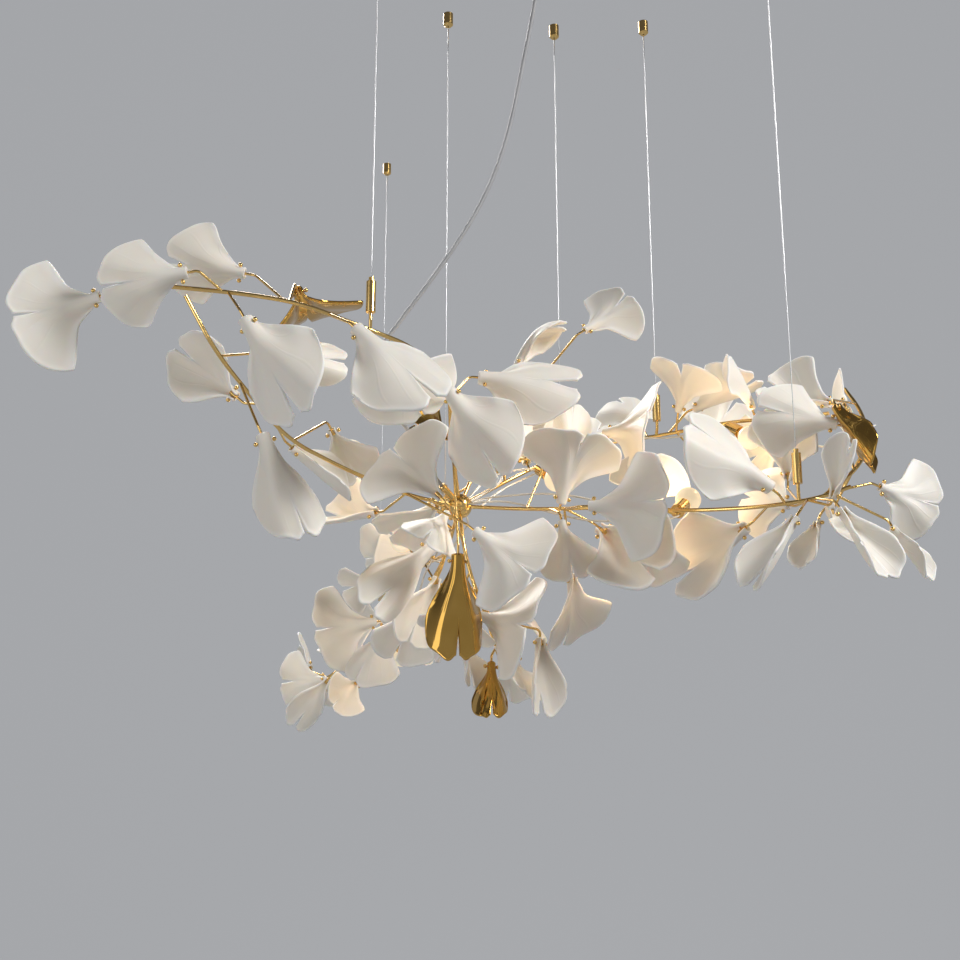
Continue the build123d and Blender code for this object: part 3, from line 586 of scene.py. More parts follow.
GOLD_NODE = "gold_leaves"
LEAF_ROWS: dict[str, tuple[LeafRow, ...]] = {
    "leaves_left_upper": (
        ((-490, -165, -580), -165, -10, 180, MEDIUM, FAN),
        ((-390, -195, -565), -170, 0, -165, MEDIUM, CUP),
        ((-345, -110, -530), 170, 0, -150, MEDIUM, CUP),
        ((-325, -200, -620), -60, 0, 145, LARGE, SPADE),
        ((-320, -65, -610), 5, -30, 180, MEDIUM, TULIP),
        ((-210, -185, -625), -45, 10, -155, LARGE, SPADE),
        ((-180, -60, -605), -60, -60, 180, MEDIUM, FAN),
    ),
    "leaves_left_lower": (
        ((-355, -75, -665), 140, 0, 25, MEDIUM, SPADE),
        ((-315, -125, -725), -65, 0, -160, LARGE, TULIP),
        ((-300, -5, -705), -35, -40, 60, MEDIUM, TULIP),
        ((-260, 40, -670), -60, -40, 0, SMALL, CUP),
        ((-125, 20, -760), 135, 0, 10, MEDIUM, FAN),
        ((-210, 120, -755), 175, -40, -40, MEDIUM, CUP),
        ((-135, 170, -735), -160, -40, 50, MEDIUM, CUP),
    ),
    "leaves_top": (
        ((-115, -35, -645), -60, 0, 145, LARGE, SPADE),
        ((-60, 110, -635), 40, -40, 180, SMALL, FAN),
        ((-80, 20, -610), -5, 0, -155, LARGE, SPADE),
        ((-30, 140, -555), 65, 0, -85, MEDIUM, HORN),
        ((60, 150, -500), 35, -10, -155, SMALL, FAN),
        ((0, 120, -695), 80, 30, 70, SMALL, TULIP),
        ((35, 170, -665), 80, -5, 160, SMALL, CUP),
        ((-15, 235, -660), 105, -30, 0, MEDIUM, FAN),
    ),
    "leaves_right_rear": (
        ((65, 250, -625), 50, -50, 20, SMALL, CUP),
        ((85, 160, -640), 0, 45, -160, MEDIUM, FAN),
        ((185, 175, -605), 85, 40, -150, SMALL, FAN),
        ((210, 195, -595), 15, 35, 110, MEDIUM, CUP),
        ((270, 115, -620), 115, 25, 110, SMALL, CUP),
        ((355, 60, -630), 150, -35, -20, MEDIUM, CUP),
        ((370, 50, -635), 20, -65, 0, SMALL, FAN),
        ((340, -15, -680), 165, -5, 180, MEDIUM, CUP),
        ((320, 140, -655), -165, -45, 0, SMALL, FAN),
        ((145, 270, -595), 110, -45, 170, MEDIUM, CUP),
        ((225, 240, -640), 55, -25, 180, MEDIUM, FAN),
    ),
    "leaves_right_main": (
        ((250, -50, -765), 145, 15, 150, LARGE, SPADE),
        ((385, -15, -755), -15, -25, 180, SMALL, FAN),
        ((395, -20, -805), -70, 25, 60, SMALL, TULIP),
        ((315, -95, -800), -65, 20, 30, MEDIUM, TULIP),
        ((315, -70, -780), 80, 45, 60, SMALL, TULIP),
        ((345, 45, -770), -130, 60, 30, SMALL, CUP),
        ((325, 40, -785), -115, 30, -60, SMALL, TULIP),
        ((270, -75, -805), -125, 0, -55, MEDIUM, TULIP),
        ((240, 45, -790), -145, -40, -30, LARGE, SPADE),
        ((365, 25, -700), 40, -65, 70, SMALL, CUP),
        ((300, 70, -725), 90, 30, 40, MEDIUM, CUP),
        ((290, 35, -765), 145, -55, -160, MEDIUM, CUP),
        ((135, 110, -755), 85, -20, 180, SMALL, FAN),
        ((135, 60, -780), -100, -45, 30, MEDIUM, CUP),
    ),
    "leaves_centre": (
        ((20, 70, -755), 75, 20, 160, MEDIUM, FAN),
        ((50, 20, -770), 0, 10, 180, MEDIUM, FAN),
        ((70, 100, -780), -50, 35, 0, LARGE, CUP),
        ((-85, 20, -800), -40, 5, 180, MEDIUM, FAN),
        ((20, 60, -780), -80, 15, 180, SMALL, CUP),
        ((-80, 95, -890), -20, 35, 180, MEDIUM, FAN),
        ((35, 120, -835), -85, -20, 50, MEDIUM, FAN),
        ((-120, 85, -765), -120, 50, 180, SMALL, CUP),
        ((-115, 125, -905), -55, 15, 80, SMALL, FAN),
        ((-50, 165, -935), -40, 50, 80, SMALL, FAN),
        ((-5, 120, -915), -90, 10, 40, MEDIUM, TULIP),
        ((-35, 170, -930), -100, -45, 20, SMALL, CUP),
        ((-55, 190, -855), 15, -50, 0, MEDIUM, FAN),
        ((-90, 120, -865), -120, -40, 20, SMALL, FAN),
    ),
    "leaves_back": (
        ((-140, 120, -800), -130, 25, -160, LARGE, TULIP),
        ((-180, 375, -755), -170, -10, 20, SMALL, FAN),
        ((-230, 480, -785), 180, -35, 30, SMALL, CUP),
        ((-235, 470, -845), -170, 5, 180, MEDIUM, FAN),
        ((-210, 425, -860), -125, 0, 150, MEDIUM, CUP),
        ((-340, 740, -905), -175, 0, 180, SMALL, FAN),
        ((-375, 800, -880), 115, -45, 60, SMALL, CUP),
        ((-330, 690, -910), -125, 0, 0, MEDIUM, TULIP),
        ((-335, 760, -920), -120, -55, 30, SMALL, FAN),
        ((-275, 620, -920), -130, 40, 20, SMALL, CUP),
        ((-160, 260, -850), -120, -35, 20, MEDIUM, CUP),
        ((-230, 560, -830), 170, -35, 10, SMALL, FAN),
        ((-135, 200, -825), -115, 0, 30, MEDIUM, CUP),
        ((-140, 230, -840), -85, -30, 60, MEDIUM, TULIP),
        ((-165, 330, -775), 135, -40, 180, SMALL, FAN),
        ((-210, 560, -870), 10, -45, 0, SMALL, CUP),
        ((-305, 715, -890), 90, -50, 0, SMALL, FAN),
    ),
    "gold_leaves": (
        ((-285, -110, -550), -65, -75, 0, MEDIUM, FAN),
        ((-120, 105, -660), 145, -45, 0, SMALL, CUP),
        ((340, -20, -660), -75, 25, 80, MEDIUM, TULIP),
        ((-105, 40, -825), -90, 0, -165, LARGE, TULIP),
        ((-65, 120, -945), -90, 30, -170, SMALL, TULIP),
    ),
}
SPRAYS = tuple(
    Spray(node, "polished_gold" if node == GOLD_NODE else "porcelain", tuple(Leaf(*row) for row in rows))
    for node, rows in LEAF_ROWS.items()
)


class NodeSheet:
    """Small helper that adds and links the nodes of one material, world or group."""

    # Numbers of a mix node's factor and two colours, and of its colour output.
    MIX_ENTRIES = (0, 6, 7)
    MIX_RESULT = 2

    def __init__(self, tree: bpy.types.NodeTree) -> None:
        """Starts an empty sheet on the tree."""
        self.tree = tree
        tree.nodes.clear()

    def feed(self, entry: Socket, value: object) -> None:
        """Gives an input a plain value, or a link where the value is the output of a node."""
        if isinstance(value, Socket):
            self.tree.links.new(value, entry)
        else:
            entry.default_value = value

    def add(self, kind: str, **values: object) -> bpy.types.Node:
        """Adds a node, sets its properties and feeds its inputs.

        Args:
            kind: Class name of the node.
            **values: Values or outputs by socket name, spaces as underscores, or by property name.

        Returns:
            The node.
        """
        node = self.tree.nodes.new(kind)
        for key, value in values.items():
            socket = key.replace("_", " ")
            if socket in node.inputs:
                self.feed(node.inputs[socket], value)
            else:
                setattr(node, key, value)
        return node

    def ordered(self, kind: str, *values: object, **settings: object) -> Socket:
        """Adds a node whose inputs are fed in their order.

        Args:
            kind: Class name of the node.
            *values: Values or outputs for its inputs.
            **settings: Its properties.

        Returns:
            Its first output.
        """
        node = self.add(kind, **settings)
        for entry, value in zip(node.inputs, values):
            self.feed(entry, value)
        return node.outputs[0]

    def group(self, tree: bpy.types.NodeTree, **values: object) -> bpy.types.Node:
        """Adds a node group and feeds its inputs."""
        return self.add("ShaderNodeGroup", node_tree=tree, **values)

    def bump(self, strength: float, depth: float, height: object, **values: object) -> Socket:
        """Normal bent by a height."""
        node = self.add("ShaderNodeBump", Strength=strength, Distance=depth, Height=height, **values)
        return node.outputs["Normal"]

    def calc(self, operation: str, *values: object) -> Socket:
        """Result of a math node on values or outputs."""
        return self.ordered("ShaderNodeMath", *values, operation=operation)

    def ramp(self, value: object, low: object, high: object, **values: object) -> Socket:
        """Value mapped from low and high to 0 and 1, or to what the other values say."""
        node = self.add("ShaderNodeMapRange", Value=value, From_Min=low, From_Max=high, **values)
        return node.outputs["Result"]

    def blend(self, factor: object, first: object, second: object) -> Socket:
        """Mix of two colours."""
        node = self.add("ShaderNodeMix", data_type="RGBA")
        for number, value in zip(self.MIX_ENTRIES, (factor, first, second)):
            self.feed(node.inputs[number], value)
        return node.outputs[self.MIX_RESULT]

    def noise(self, scale: object, detail: float, roughness: float) -> Socket:
        """Strength of a noise in the space of the object."""
        place = self.add("ShaderNodeTexCoord").outputs["Object"]
        node = self.add("ShaderNodeTexNoise", Vector=place, Scale=scale, Detail=detail, Roughness=roughness)
        return node.outputs["Fac"]


class Effects:
    """Shader node groups that several finishes share, each made once."""

    PATCH_SPAN = (0.35, 0.65)
    GRAIN_SPAN = (0.3, 0.7)
    VEIN_BEND = 6.0
    VEIN_START = (0.25, 0.50)
    VEIN_END = (0.86, 0.98)
    FALLING = {"To_Min": 1.0, "To_Max": 0.0}

    @staticmethod
    def start(name: str, inputs: dict[str, object], outputs: dict[str, object]) -> tuple:
        """Starts a group with named sockets; a first value of four numbers makes a colour.

        Args:
            name: Name of the group.
            inputs: First value by input name.
            outputs: First value by output name.

        Returns:
            The group, its sheet, the sockets that bring values in and those that take them out.
        """
        group = bpy.data.node_groups.new(name, "ShaderNodeTree")
        for way, sockets in (("INPUT", inputs), ("OUTPUT", outputs)):
            for key, value in sockets.items():
                kind = "NodeSocketColor" if isinstance(value, tuple) else "NodeSocketFloat"
                group.interface.new_socket(key, in_out=way, socket_type=kind).default_value = value
        sheet = NodeSheet(group)
        return group, sheet, sheet.add("NodeGroupInput").outputs, sheet.add("NodeGroupOutput").inputs

    @staticmethod
    @functools.cache
    def mottle() -> bpy.types.NodeTree:
        """Soft patches: a colour drifts towards a tint by the strength of a slow noise."""
        first = {"Colour": WHITE, "Tint": WHITE, "Scale": 30.0, "Amount": 0.5}
        group, sheet, entry, leave = Effects.start("mottle", first, {"Colour": WHITE})
        noise = sheet.noise(entry["Scale"], detail=4.0, roughness=0.55)
        share = sheet.calc("MULTIPLY", sheet.ramp(noise, *Effects.PATCH_SPAN), entry["Amount"])
        sheet.feed(leave["Colour"], sheet.blend(share, entry["Colour"], entry["Tint"]))
        return group

    @staticmethod
    @functools.cache
    def grain() -> bpy.types.NodeTree:
        """Fine surface grain: a roughness between two values, and a height, from one fine noise."""
        first = {"Scale": 500.0, "Low": 0.3, "High": 0.5}
        group, sheet, entry, leave = Effects.start("grain", first, {"Roughness": 0.0, "Height": 0.0})
        noise = sheet.noise(entry["Scale"], detail=3.0, roughness=0.6)
        ramp = sheet.ramp(noise, *Effects.GRAIN_SPAN, To_Min=entry["Low"], To_Max=entry["High"])
        sheet.feed(leave["Roughness"], ramp)
        sheet.feed(leave["Height"], noise)
        return group

    @staticmethod
    @functools.cache
    def veins() -> bpy.types.NodeTree:
        """Raised lines that fan out from a leaf's neck in slow curves, as a height from its UV map."""
        first = {"Lines": 3.3, "Width": 0.10, "Sway": 0.12}
        group, sheet, entry, leave = Effects.start("veins", first, {"Height": 0.0})
        place = sheet.add("ShaderNodeTexCoord").outputs["UV"]
        split = sheet.add("ShaderNodeSeparateXYZ", Vector=place).outputs
        across = sheet.calc("MULTIPLY_ADD", split["X"], 2.0, -1.0)
        curve = sheet.calc("SINE", sheet.calc("MULTIPLY", split["Y"], Effects.VEIN_BEND))
        swayed = sheet.calc("MULTIPLY", across, sheet.calc("MULTIPLY_ADD", curve, entry["Sway"], 1.0))
        nearest = sheet.calc("PINGPONG", sheet.calc("MULTIPLY", swayed, entry["Lines"]), 0.5)
        falling = Effects.FALLING
        line = sheet.ramp(nearest, 0.0, entry["Width"], interpolation_type="SMOOTHSTEP", **falling)
        start = sheet.ramp(split["Y"], *Effects.VEIN_START)
        fade = sheet.calc("MULTIPLY", start, sheet.ramp(split["Y"], *Effects.VEIN_END, **falling))
        sheet.feed(leave["Height"], sheet.calc("MULTIPLY", line, fade))
        return group


@dataclass(frozen=True)
class Finish:
    """Colour, gloss and grain of one finish."""

    slot: str
    colour: Colour
    tint: Colour
    roughness: tuple[float, float]
    metallic: float = 0.0
    patch_scale: float = 25.0
    patch_amount: float = 0.5
    grain_scale: float = 700.0
    grain_depth: float = 0.00005
    coat: float = 0.0
    subsurface: float = 0.0
    transmission: float = 0.0
    glow: float = 0.0
    glow_colour: Colour = (1.0, 1.0, 1.0)
    # Painted highlight: a whiter colour on the rim, standing in for light caught by the rounded edge.
    painted_rim_highlight: Colour | None = None
    vein_height: float = 0.0
    braid: bool = False

    COAT_ROUGHNESS = 0.08
    SCATTER_RADIUS = (1.0, 0.72, 0.45)
    SCATTER_SCALE = 0.004
    CLEAR_IOR = 1.45
    GRAIN_STRENGTH = 0.6
    BRAID_TURNS = (3.0, 420.0, 1.0)
    BRAID_DEPTH = 0.0003

    def material(self) -> Material:
        """Material of the finish, made once."""
        found = bpy.data.materials.get(f"finish_{self.slot}")
        return found if found else self.make()

    def make(self) -> Material:
        """Lays the nodes: patches and a painted rim highlight into the colour, grain into roughness and
        bump, plain values on sockets.

        Returns:
            The new material.
        """
        material = bpy.data.materials.new(f"finish_{self.slot}")
        material.use_nodes = True
        sheet = NodeSheet(material.node_tree)
        patches = sheet.group(
            Effects.mottle(),
            Colour=(*self.colour, 1.0),
            Tint=(*self.tint, 1.0),
            Scale=self.patch_scale,
            Amount=self.patch_amount,
        )
        low, high = self.roughness
        grain = sheet.group(Effects.grain(), Scale=self.grain_scale, Low=low, High=high)
        shader = sheet.add(
            "ShaderNodeBsdfPrincipled",
            # The base colour carries the painted rim highlight where the finish has one.
            Base_Color=self.with_painted_rim_highlight(sheet, patches.outputs["Colour"]),
            Roughness=grain.outputs["Roughness"],
            Normal=self.relief(sheet, grain.outputs["Height"]),
            **self.extras(),
        )
        sheet.add("ShaderNodeOutputMaterial", Surface=shader.outputs["BSDF"])
        return material

    def extras(self) -> dict[str, object]:
        """Shader values by socket name, for the features that the finish has."""
        values: dict[str, object] = {"Metallic": self.metallic}
        if self.coat:
            values |= {"Coat Weight": self.coat, "Coat Roughness": self.COAT_ROUGHNESS}
        if self.subsurface:
            values |= {"Subsurface Weight": self.subsurface, "Subsurface Radius": self.SCATTER_RADIUS}
            values |= {"Subsurface Scale": self.SCATTER_SCALE}
        if self.transmission:
            values |= {"Transmission Weight": self.transmission, "IOR": self.CLEAR_IOR}
        if self.glow:
            values |= {"Emission Color": (*self.glow_colour, 1.0), "Emission Strength": self.glow}
        return values

    def with_painted_rim_highlight(self, sheet: NodeSheet, colour: Socket) -> Socket:
        """The colour, with a painted highlight on the rim: a whiter colour blended in by the mesh's rim
        value where the finish has one.
        """
        if not self.painted_rim_highlight:
            return colour
        rim = sheet.add("ShaderNodeAttribute", attribute_name="rim").outputs["Fac"]
        return sheet.blend(rim, colour, (*self.painted_rim_highlight, 1.0))

    def relief(self, sheet: NodeSheet, grain: Socket) -> Socket:
        """Normal bent by the fine grain, or by the braid of a cord, with a leaf's veins laid over it.

        Args:
            sheet: Nodes of the material.
            grain: Height of the fine grain.

        Returns:
            The bent normal.
        """
        height = self.spiral(sheet) if self.braid else grain
        depth = self.BRAID_DEPTH if self.braid else self.grain_depth
        normal = sheet.bump(self.GRAIN_STRENGTH, depth, height)
        if not self.vein_height:
            return normal
        veins = sheet.group(Effects.veins()).outputs["Height"]
        return sheet.bump(1.0, self.vein_height, veins, Normal=normal)

    def spiral(self, sheet: NodeSheet) -> Socket:
        """Height of a fine spiral along a cord, from its UV map."""
        place = sheet.add("ShaderNodeTexCoord").outputs["UV"]
        turn = sheet.add("ShaderNodeMapping", Vector=place, Scale=self.BRAID_TURNS).outputs["Vector"]
        wave = sheet.add("ShaderNodeTexWave", bands_direction="DIAGONAL", Vector=turn, Scale=1.0)
        return wave.outputs["Fac"]


FINISHES = {
    finish.slot: finish
    for finish in (
        Finish(
            "porcelain",
            (0.88, 0.85, 0.80),
            (0.84, 0.80, 0.73),
            (0.42, 0.60),
            patch_scale=14.0,
            patch_amount=0.55,
            grain_scale=1400.0,
            grain_depth=0.00004,
            subsurface=0.30,
            # Painted highlight: whiter colour on the leaves' rounded rims.
            painted_rim_highlight=(0.94, 0.92, 0.89),
            vein_height=0.00012,
        ),
        Finish(
            "polished_gold",
            (0.58, 0.35, 0.09),
            (0.46, 0.26, 0.05),
            (0.05, 0.12),
            metallic=1.0,
            patch_amount=0.4,
            grain_depth=0.00001,
            vein_height=0.00008,
        ),
        Finish(
            "brass",
            (0.80, 0.55, 0.21),
            (0.68, 0.44, 0.15),
            (0.12, 0.20),
            metallic=1.0,
            patch_amount=0.4,
            grain_depth=0.00001,
        ),
        Finish(
            "steel_wire",
            (0.62, 0.63, 0.65),
            (0.48, 0.49, 0.51),
            (0.25, 0.40),
            metallic=1.0,
            patch_scale=200.0,
        ),
        Finish("grey_cord", (0.40, 0.41, 0.43), (0.31, 0.32, 0.34), (0.35, 0.50), braid=True),
        Finish("clear_cable", (0.92, 0.88, 0.79), (0.84, 0.79, 0.70), (0.08, 0.16), transmission=0.5),
        Finish(
            "milk_glass",
            (0.95, 0.90, 0.80),
            (0.92, 0.85, 0.72),
            (0.10, 0.18),
            coat=0.4,
            glow=0.42,
            glow_colour=(1.0, 0.80, 0.48),
        ),
        Finish("rose_paint", (0.80, 0.58, 0.26), (0.70, 0.48, 0.19), (0.25, 0.38), metallic=0.85),
        Finish(
            "zinc_steel",
            (0.66, 0.67, 0.68),
            (0.54, 0.55, 0.57),
            (0.28, 0.45),
            metallic=1.0,
            patch_scale=80.0,
        ),
        Finish("block_plastic", (0.86, 0.86, 0.83), (0.80, 0.80, 0.77), (0.45, 0.60)),
    )
}


@dataclass(frozen=True)
class Route:
    """Route of a cord: its given control points in millimetres and its radius."""

    name: str
    points: tuple[Point, ...]
    radius: float

    STEPS = 10
    ORDER = 3

    def line(self) -> Array:
        """Points of the smooth NURBS line through the route, in millimetres."""
        curve = bpy.data.curves.new(f"{self.name}_line", "CURVE")
        curve.dimensions = "3D"
        curve.resolution_u = self.STEPS
        spline = curve.splines.new("NURBS")
        spline.points.add(len(self.points) - 1)
        flat = np.column_stack([np.array(self.points, float) * MM, np.ones(len(self.points))])
        spline.points.foreach_set("co", flat.astype(np.float32).ravel())
        spline.order_u = self.ORDER
        spline.use_endpoint_u = True
        holder = add_object(curve.name, curve)
        shown = holder.evaluated_get(bpy.context.evaluated_depsgraph_get())
        mesh = bpy.data.meshes.new_from_object(shown)
        flat = np.empty(3 * len(mesh.vertices), np.float32)
        mesh.vertices.foreach_get("co", flat)
        bpy.data.objects.remove(holder)
        bpy.data.curves.remove(curve)
        bpy.data.meshes.remove(mesh)
        return flat.reshape(-1, 3).astype(float) / MM

    def build(self, slot: str, segments: int) -> tuple[Object, Array]:
        """Carries a circle along the line and gives the tube its finish.

        Args:
            slot: Material slot of the cord.
            segments: Number of steps round the cord.

        Returns:
            The piece, and its line in metres.
        """
        line = self.line()
        piece = Skin.tube(line, self.radius, segments).to_object(self.name)
        piece.data.materials.append(FINISHES[slot].material())
        return piece, line * MM

    @staticmethod
    def length(line: Array) -> float:
        """Length of a line of points."""
        return float(np.linalg.norm(np.diff(line, axis=0), axis=1).sum())


@dataclass(frozen=True)
class Lamp:
    """One lamp: globe centre, axis, and the cable from the hub to the back of its holder."""

    number: int
    centre: Point
    azimuth: float
    elevation: float
    cable_turn: float
    hub_azimuth: float
    hub_elevation: float
    between: tuple[Point, ...]

    SHINE = 0.17
    SHINE_COLOUR = (1.0, 0.68, 0.35)
    GLOBE_R = 16.0
    BASE_R = 6.0
    COLLAR_R = 7.4
    COLLAR_TOP = 16.2
    COLLAR_FOOT = 19.4
    BASE_END = 34.0
    PIN_R = 0.6
    PIN_END = 40.0
    PIN_HALF_SPACING = 2.5
    HOLDER_BACK = 44.0
    CABLE_R = 1.25
    CABLE_SIDE = 5.4
    CABLE_LEAD = 14.0
    HUB_LEAD = 16.0
    GLOBE_RINGS = 25
    GLOBE_SEGMENTS = 40
    BASE_SEGMENTS = 32
    PIN_SEGMENTS = 10
    CABLE_SEGMENTS = 12
    BASE_TOP_SHARE = 0.86
    PIN_ROOT = 1.0
    SOFT_EDGE = 0.5
    COLLAR_STEP = 0.1

    def axes(self) -> Array:
        """Columns: two directions across the lamp and its axis."""
        axis = heading(self.azimuth, self.elevation)
        side = heading(self.azimuth + 90.0, 0.0)
        return np.stack([side, np.cross(axis, side), axis], axis=1)

    def globe(self) -> Object:
        """Milk-glass globe: a ball whose lower pole is drawn in to the neck of the base."""
        last = np.pi - math.asin(self.BASE_R / self.GLOBE_R)
        angle = np.linspace(0.0, last, self.GLOBE_RINGS)
        profile = [(self.GLOBE_R * math.sin(a), self.GLOBE_R * math.cos(a)) for a in angle]
        profile[0] = (0.0, self.GLOBE_R)
        profile.append((0.0, profile[-1][1]))
        ball = Skin.lathe(profile, self.GLOBE_SEGMENTS).placed(self.centre, self.axes())
        piece = ball.to_object(f"globe_{self.number}")
        piece.data.materials.append(FINISHES["milk_glass"].material())
        piece.visible_shadow = False
        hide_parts(f"bulb_{self.number}")
        return piece

    def shine(self, globe: Object) -> None:
        """Puts a small warm light inside the globe, which goes with it."""
        light = bpy.data.lights.new(f"shine_{self.number}", "POINT")
        light.energy = self.SHINE
        light.color = self.SHINE_COLOUR
        light.shadow_soft_size = 0.5 * self.GLOBE_R * MM
        holder = add_object(light.name, light)
        holder.location = np.array(self.centre) * MM
        holder.parent = globe

    def base(self) -> Object:
        """Turned brass base with a rounded collar and two contact pins."""
        top = -self.BASE_TOP_SHARE * self.GLOBE_R
        foot = -self.BASE_END
        soft = self.SOFT_EDGE
        turned = [
            (0.0, top),
            (self.BASE_R, top),
            (self.BASE_R, -self.COLLAR_TOP + soft),
            (self.COLLAR_R - soft, -self.COLLAR_TOP),
            (self.COLLAR_R, -self.COLLAR_TOP - soft),
            (self.COLLAR_R, -self.COLLAR_FOOT + soft),
            (self.COLLAR_R - soft, -self.COLLAR_FOOT),
            (self.BASE_R, -self.COLLAR_FOOT - self.COLLAR_STEP),
            (self.BASE_R, foot + soft),
            (self.BASE_R - soft, foot),
            (0.0, foot),
        ]
        root = foot + self.PIN_ROOT
        pin = Skin.lathe(
            [(0.0, root), (self.PIN_R, root), (self.PIN_R, -self.PIN_END), (0.0, -self.PIN_END)],
            self.PIN_SEGMENTS,
        )
        skins = [Skin.lathe(turned, self.BASE_SEGMENTS)]
        for side in (-1.0, 1.0):
            skins.append(pin.placed((side * self.PIN_HALF_SPACING, 0.0, 0.0), np.eye(3)))
        piece = Skin.joined(skins).placed(self.centre, self.axes()).to_object(f"lamp_base_{self.number}")
        piece.data.materials.append(FINISHES["brass"].material())
        return piece

    def cable(self) -> Object:
        """Clear cable from the hub to the back of the holder."""
        side, across, axis = self.axes().T
        turn = math.radians(self.cable_turn)
        aside = self.CABLE_SIDE * (side * math.cos(turn) + across * math.sin(turn))
        end = np.array(self.centre) - axis * self.HOLDER_BACK + aside
        outward = heading(self.hub_azimuth, self.hub_elevation)
        points = (
            tuple(HUB + outward * HUB_R),
            tuple(HUB + outward * (HUB_R + self.HUB_LEAD)),
            *self.between,
            tuple(end - axis * self.CABLE_LEAD),
            tuple(end),
        )
        route = Route(f"lamp_cable_{self.number}", points, self.CABLE_R)
        piece, line = route.build("clear_cable", self.CABLE_SEGMENTS)
        Route.length(line)
        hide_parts("lamp_cables")
        return piece

    def build(self) -> None:
        """Makes the globe and base, which slide out of the holder, and the cable, which stays."""
        globe = self.globe()
        for piece in (globe, self.base()):
            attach(piece, f"bulb_{self.number}")
        self.shine(globe)
        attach(self.cable(), "frame")
        log.info("lamp %d: globe, base and cable", self.number)


LAMPS = (
    Lamp(1, (180, 95, -745), 60, 30, 255, 315, 0, (
        (-45, 120, -740), (0, 110, -755), (55, 85, -775), (95, 55, -780),
    )),
    Lamp(2, (-60, 205, -645), 120, 60, 30, 15, 30, ((-55, 160, -710),)),
    Lamp(3, (20, 150, -705), 300, -30, 240, 0, 45, ((-70, 155, -700), (-25, 190, -680))),
    Lamp(4, (100, 140, -805), 90, -30, 150, 345, 15, (
        (-60, 120, -735), (-5, 100, -735), (30, 90, -740), (65, 75, -750),
    )),
    Lamp(5, (265, 110, -660), 300, -30, 195, 45, 0, (
        (-55, 170, -715), (-15, 195, -690), (20, 210, -670), (70, 220, -640),
        (130, 195, -635), (165, 185, -640), (200, 165, -640),
    )),
    Lamp(6, (-185, 255, -765), 180, 30, 330, 60, -30, ((-105, 185, -770), (-120, 225, -790))),
    Lamp(7, (-200, 535, -890), 90, -30, 90, 75, 0, (
        (-120, 200, -760), (-135, 250, -780), (-155, 310, -795),
        (-165, 350, -820), (-175, 380, -840), (-185, 430, -855),
    )),
    Lamp(8, (-240, 90, -685), 180, 30, 210, 195, 15, ((-155, 110, -725),)),
)


@dataclass(frozen=True)
class Suspension:
    """Thin steel wires that hang from the ceiling anchors."""

    places: tuple[tuple[float, float], ...] = (
        (-200, -130),
        (-125, 185),
        (-245, 640),
        (30, 215),
        (160, 205),
        (285, -35),
    )
    radius: float = 0.6
    ball_r: float = 2.2
    reach: float = 5.0

    BALL_RINGS = 13
    BALL_SEGMENTS = 16
    WIRE_STEPS = 12
    WIRE_SEGMENTS = 10

    def ends(self, x: float, y: float) -> tuple[float, float]:
        """Height of the bottom and top of the wire at a place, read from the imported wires.

        Args:
            x: Place of the wire in millimetres.
            y: Place of the wire in millimetres.

        Returns:
            Bottom and top in millimetres.
        """
        mesh = frame["nodes"]["suspension_wires"].data
        flat = np.empty(3 * len(mesh.vertices), np.float32)
        mesh.vertices.foreach_get("co", flat)
        points = flat.reshape(-1, 3) / MM
        near = points[np.hypot(points[:, 0] - x, points[:, 1] - y) < self.reach]
        return float(near[:, 2].min()), float(near[:, 2].max())

    def build(self) -> None:
        """Lays each wire with its ball end, riding on the ceiling."""
        for number, (x, y) in enumerate(self.places, 1):
            low, high = self.ends(x, y)
            centre = high - self.ball_r
            turn = np.linspace(0.0, np.pi, self.BALL_RINGS)
            profile = [(self.ball_r * math.sin(a), centre + self.ball_r * math.cos(a)) for a in turn]
            profile[0] = (0.0, high)
            profile[-1] = (0.0, centre - self.ball_r)
            turned = Skin.lathe(profile, self.BALL_SEGMENTS).placed((x, y, 0.0), np.eye(3))
            ball = turned.to_object(f"wire_ball_{number}")
            line = np.array([(x, y, z) for z in np.linspace(centre, low, self.WIRE_STEPS)], float)
            wire = Skin.tube(line, self.radius, self.WIRE_SEGMENTS).to_object(f"wire_{number}")
            for piece in (ball, wire):
                piece.data.materials.append(FINISHES["steel_wire"].material())
                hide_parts("suspension_wires")
                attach(piece, "ceiling")
            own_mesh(wire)


@dataclass(frozen=True)
class PowerCord:
    """Grey cord that hangs from the rose, loops behind a leaf and ends at the hub."""

    radius: float = 2.5
    top: Point = (0, 0, -15)
    leave: Point = (0, 0, -35)
    points: tuple[Point, ...] = (
        (-3, 5, -72),
        (-12, 16, -125),
        (-24, 22, -185),
        (-36, 25, -250),
        (-52, 24, -315),
        (-75, 22, -375),
        (-105, 20, -430),
        (-140, 18, -485),
        (-175, 18, -535),
        (-200, 20, -570),
        (-212, 25, -605),
        (-200, 35, -635),
        (-175, 52, -655),
        (-158, 75, -678),
        (-148, 92, -698),
    )
    grip_axis: Point = (-0.60, -0.55, 0.58)
    grip_end: float = 40.0
    cord_end: float = 21.0

    SEGMENTS = 20

    def build(self) -> None:
        """Lays the cord from the rose to the hub as one piece, fixed in place."""
        axis = unit(np.array(self.grip_axis))
        lead = tuple(HUB + axis * self.grip_end)
        end = tuple(HUB + axis * self.cord_end)
        route = Route("power_cord_laid", (self.top, self.leave, *self.points, lead, end), self.radius)
        piece, line = route.build("grey_cord", self.SEGMENTS)
        Route.length(line)
        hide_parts("power_cord")
        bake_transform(piece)
        log.info("power cord: %.3f m", Route.length(line))


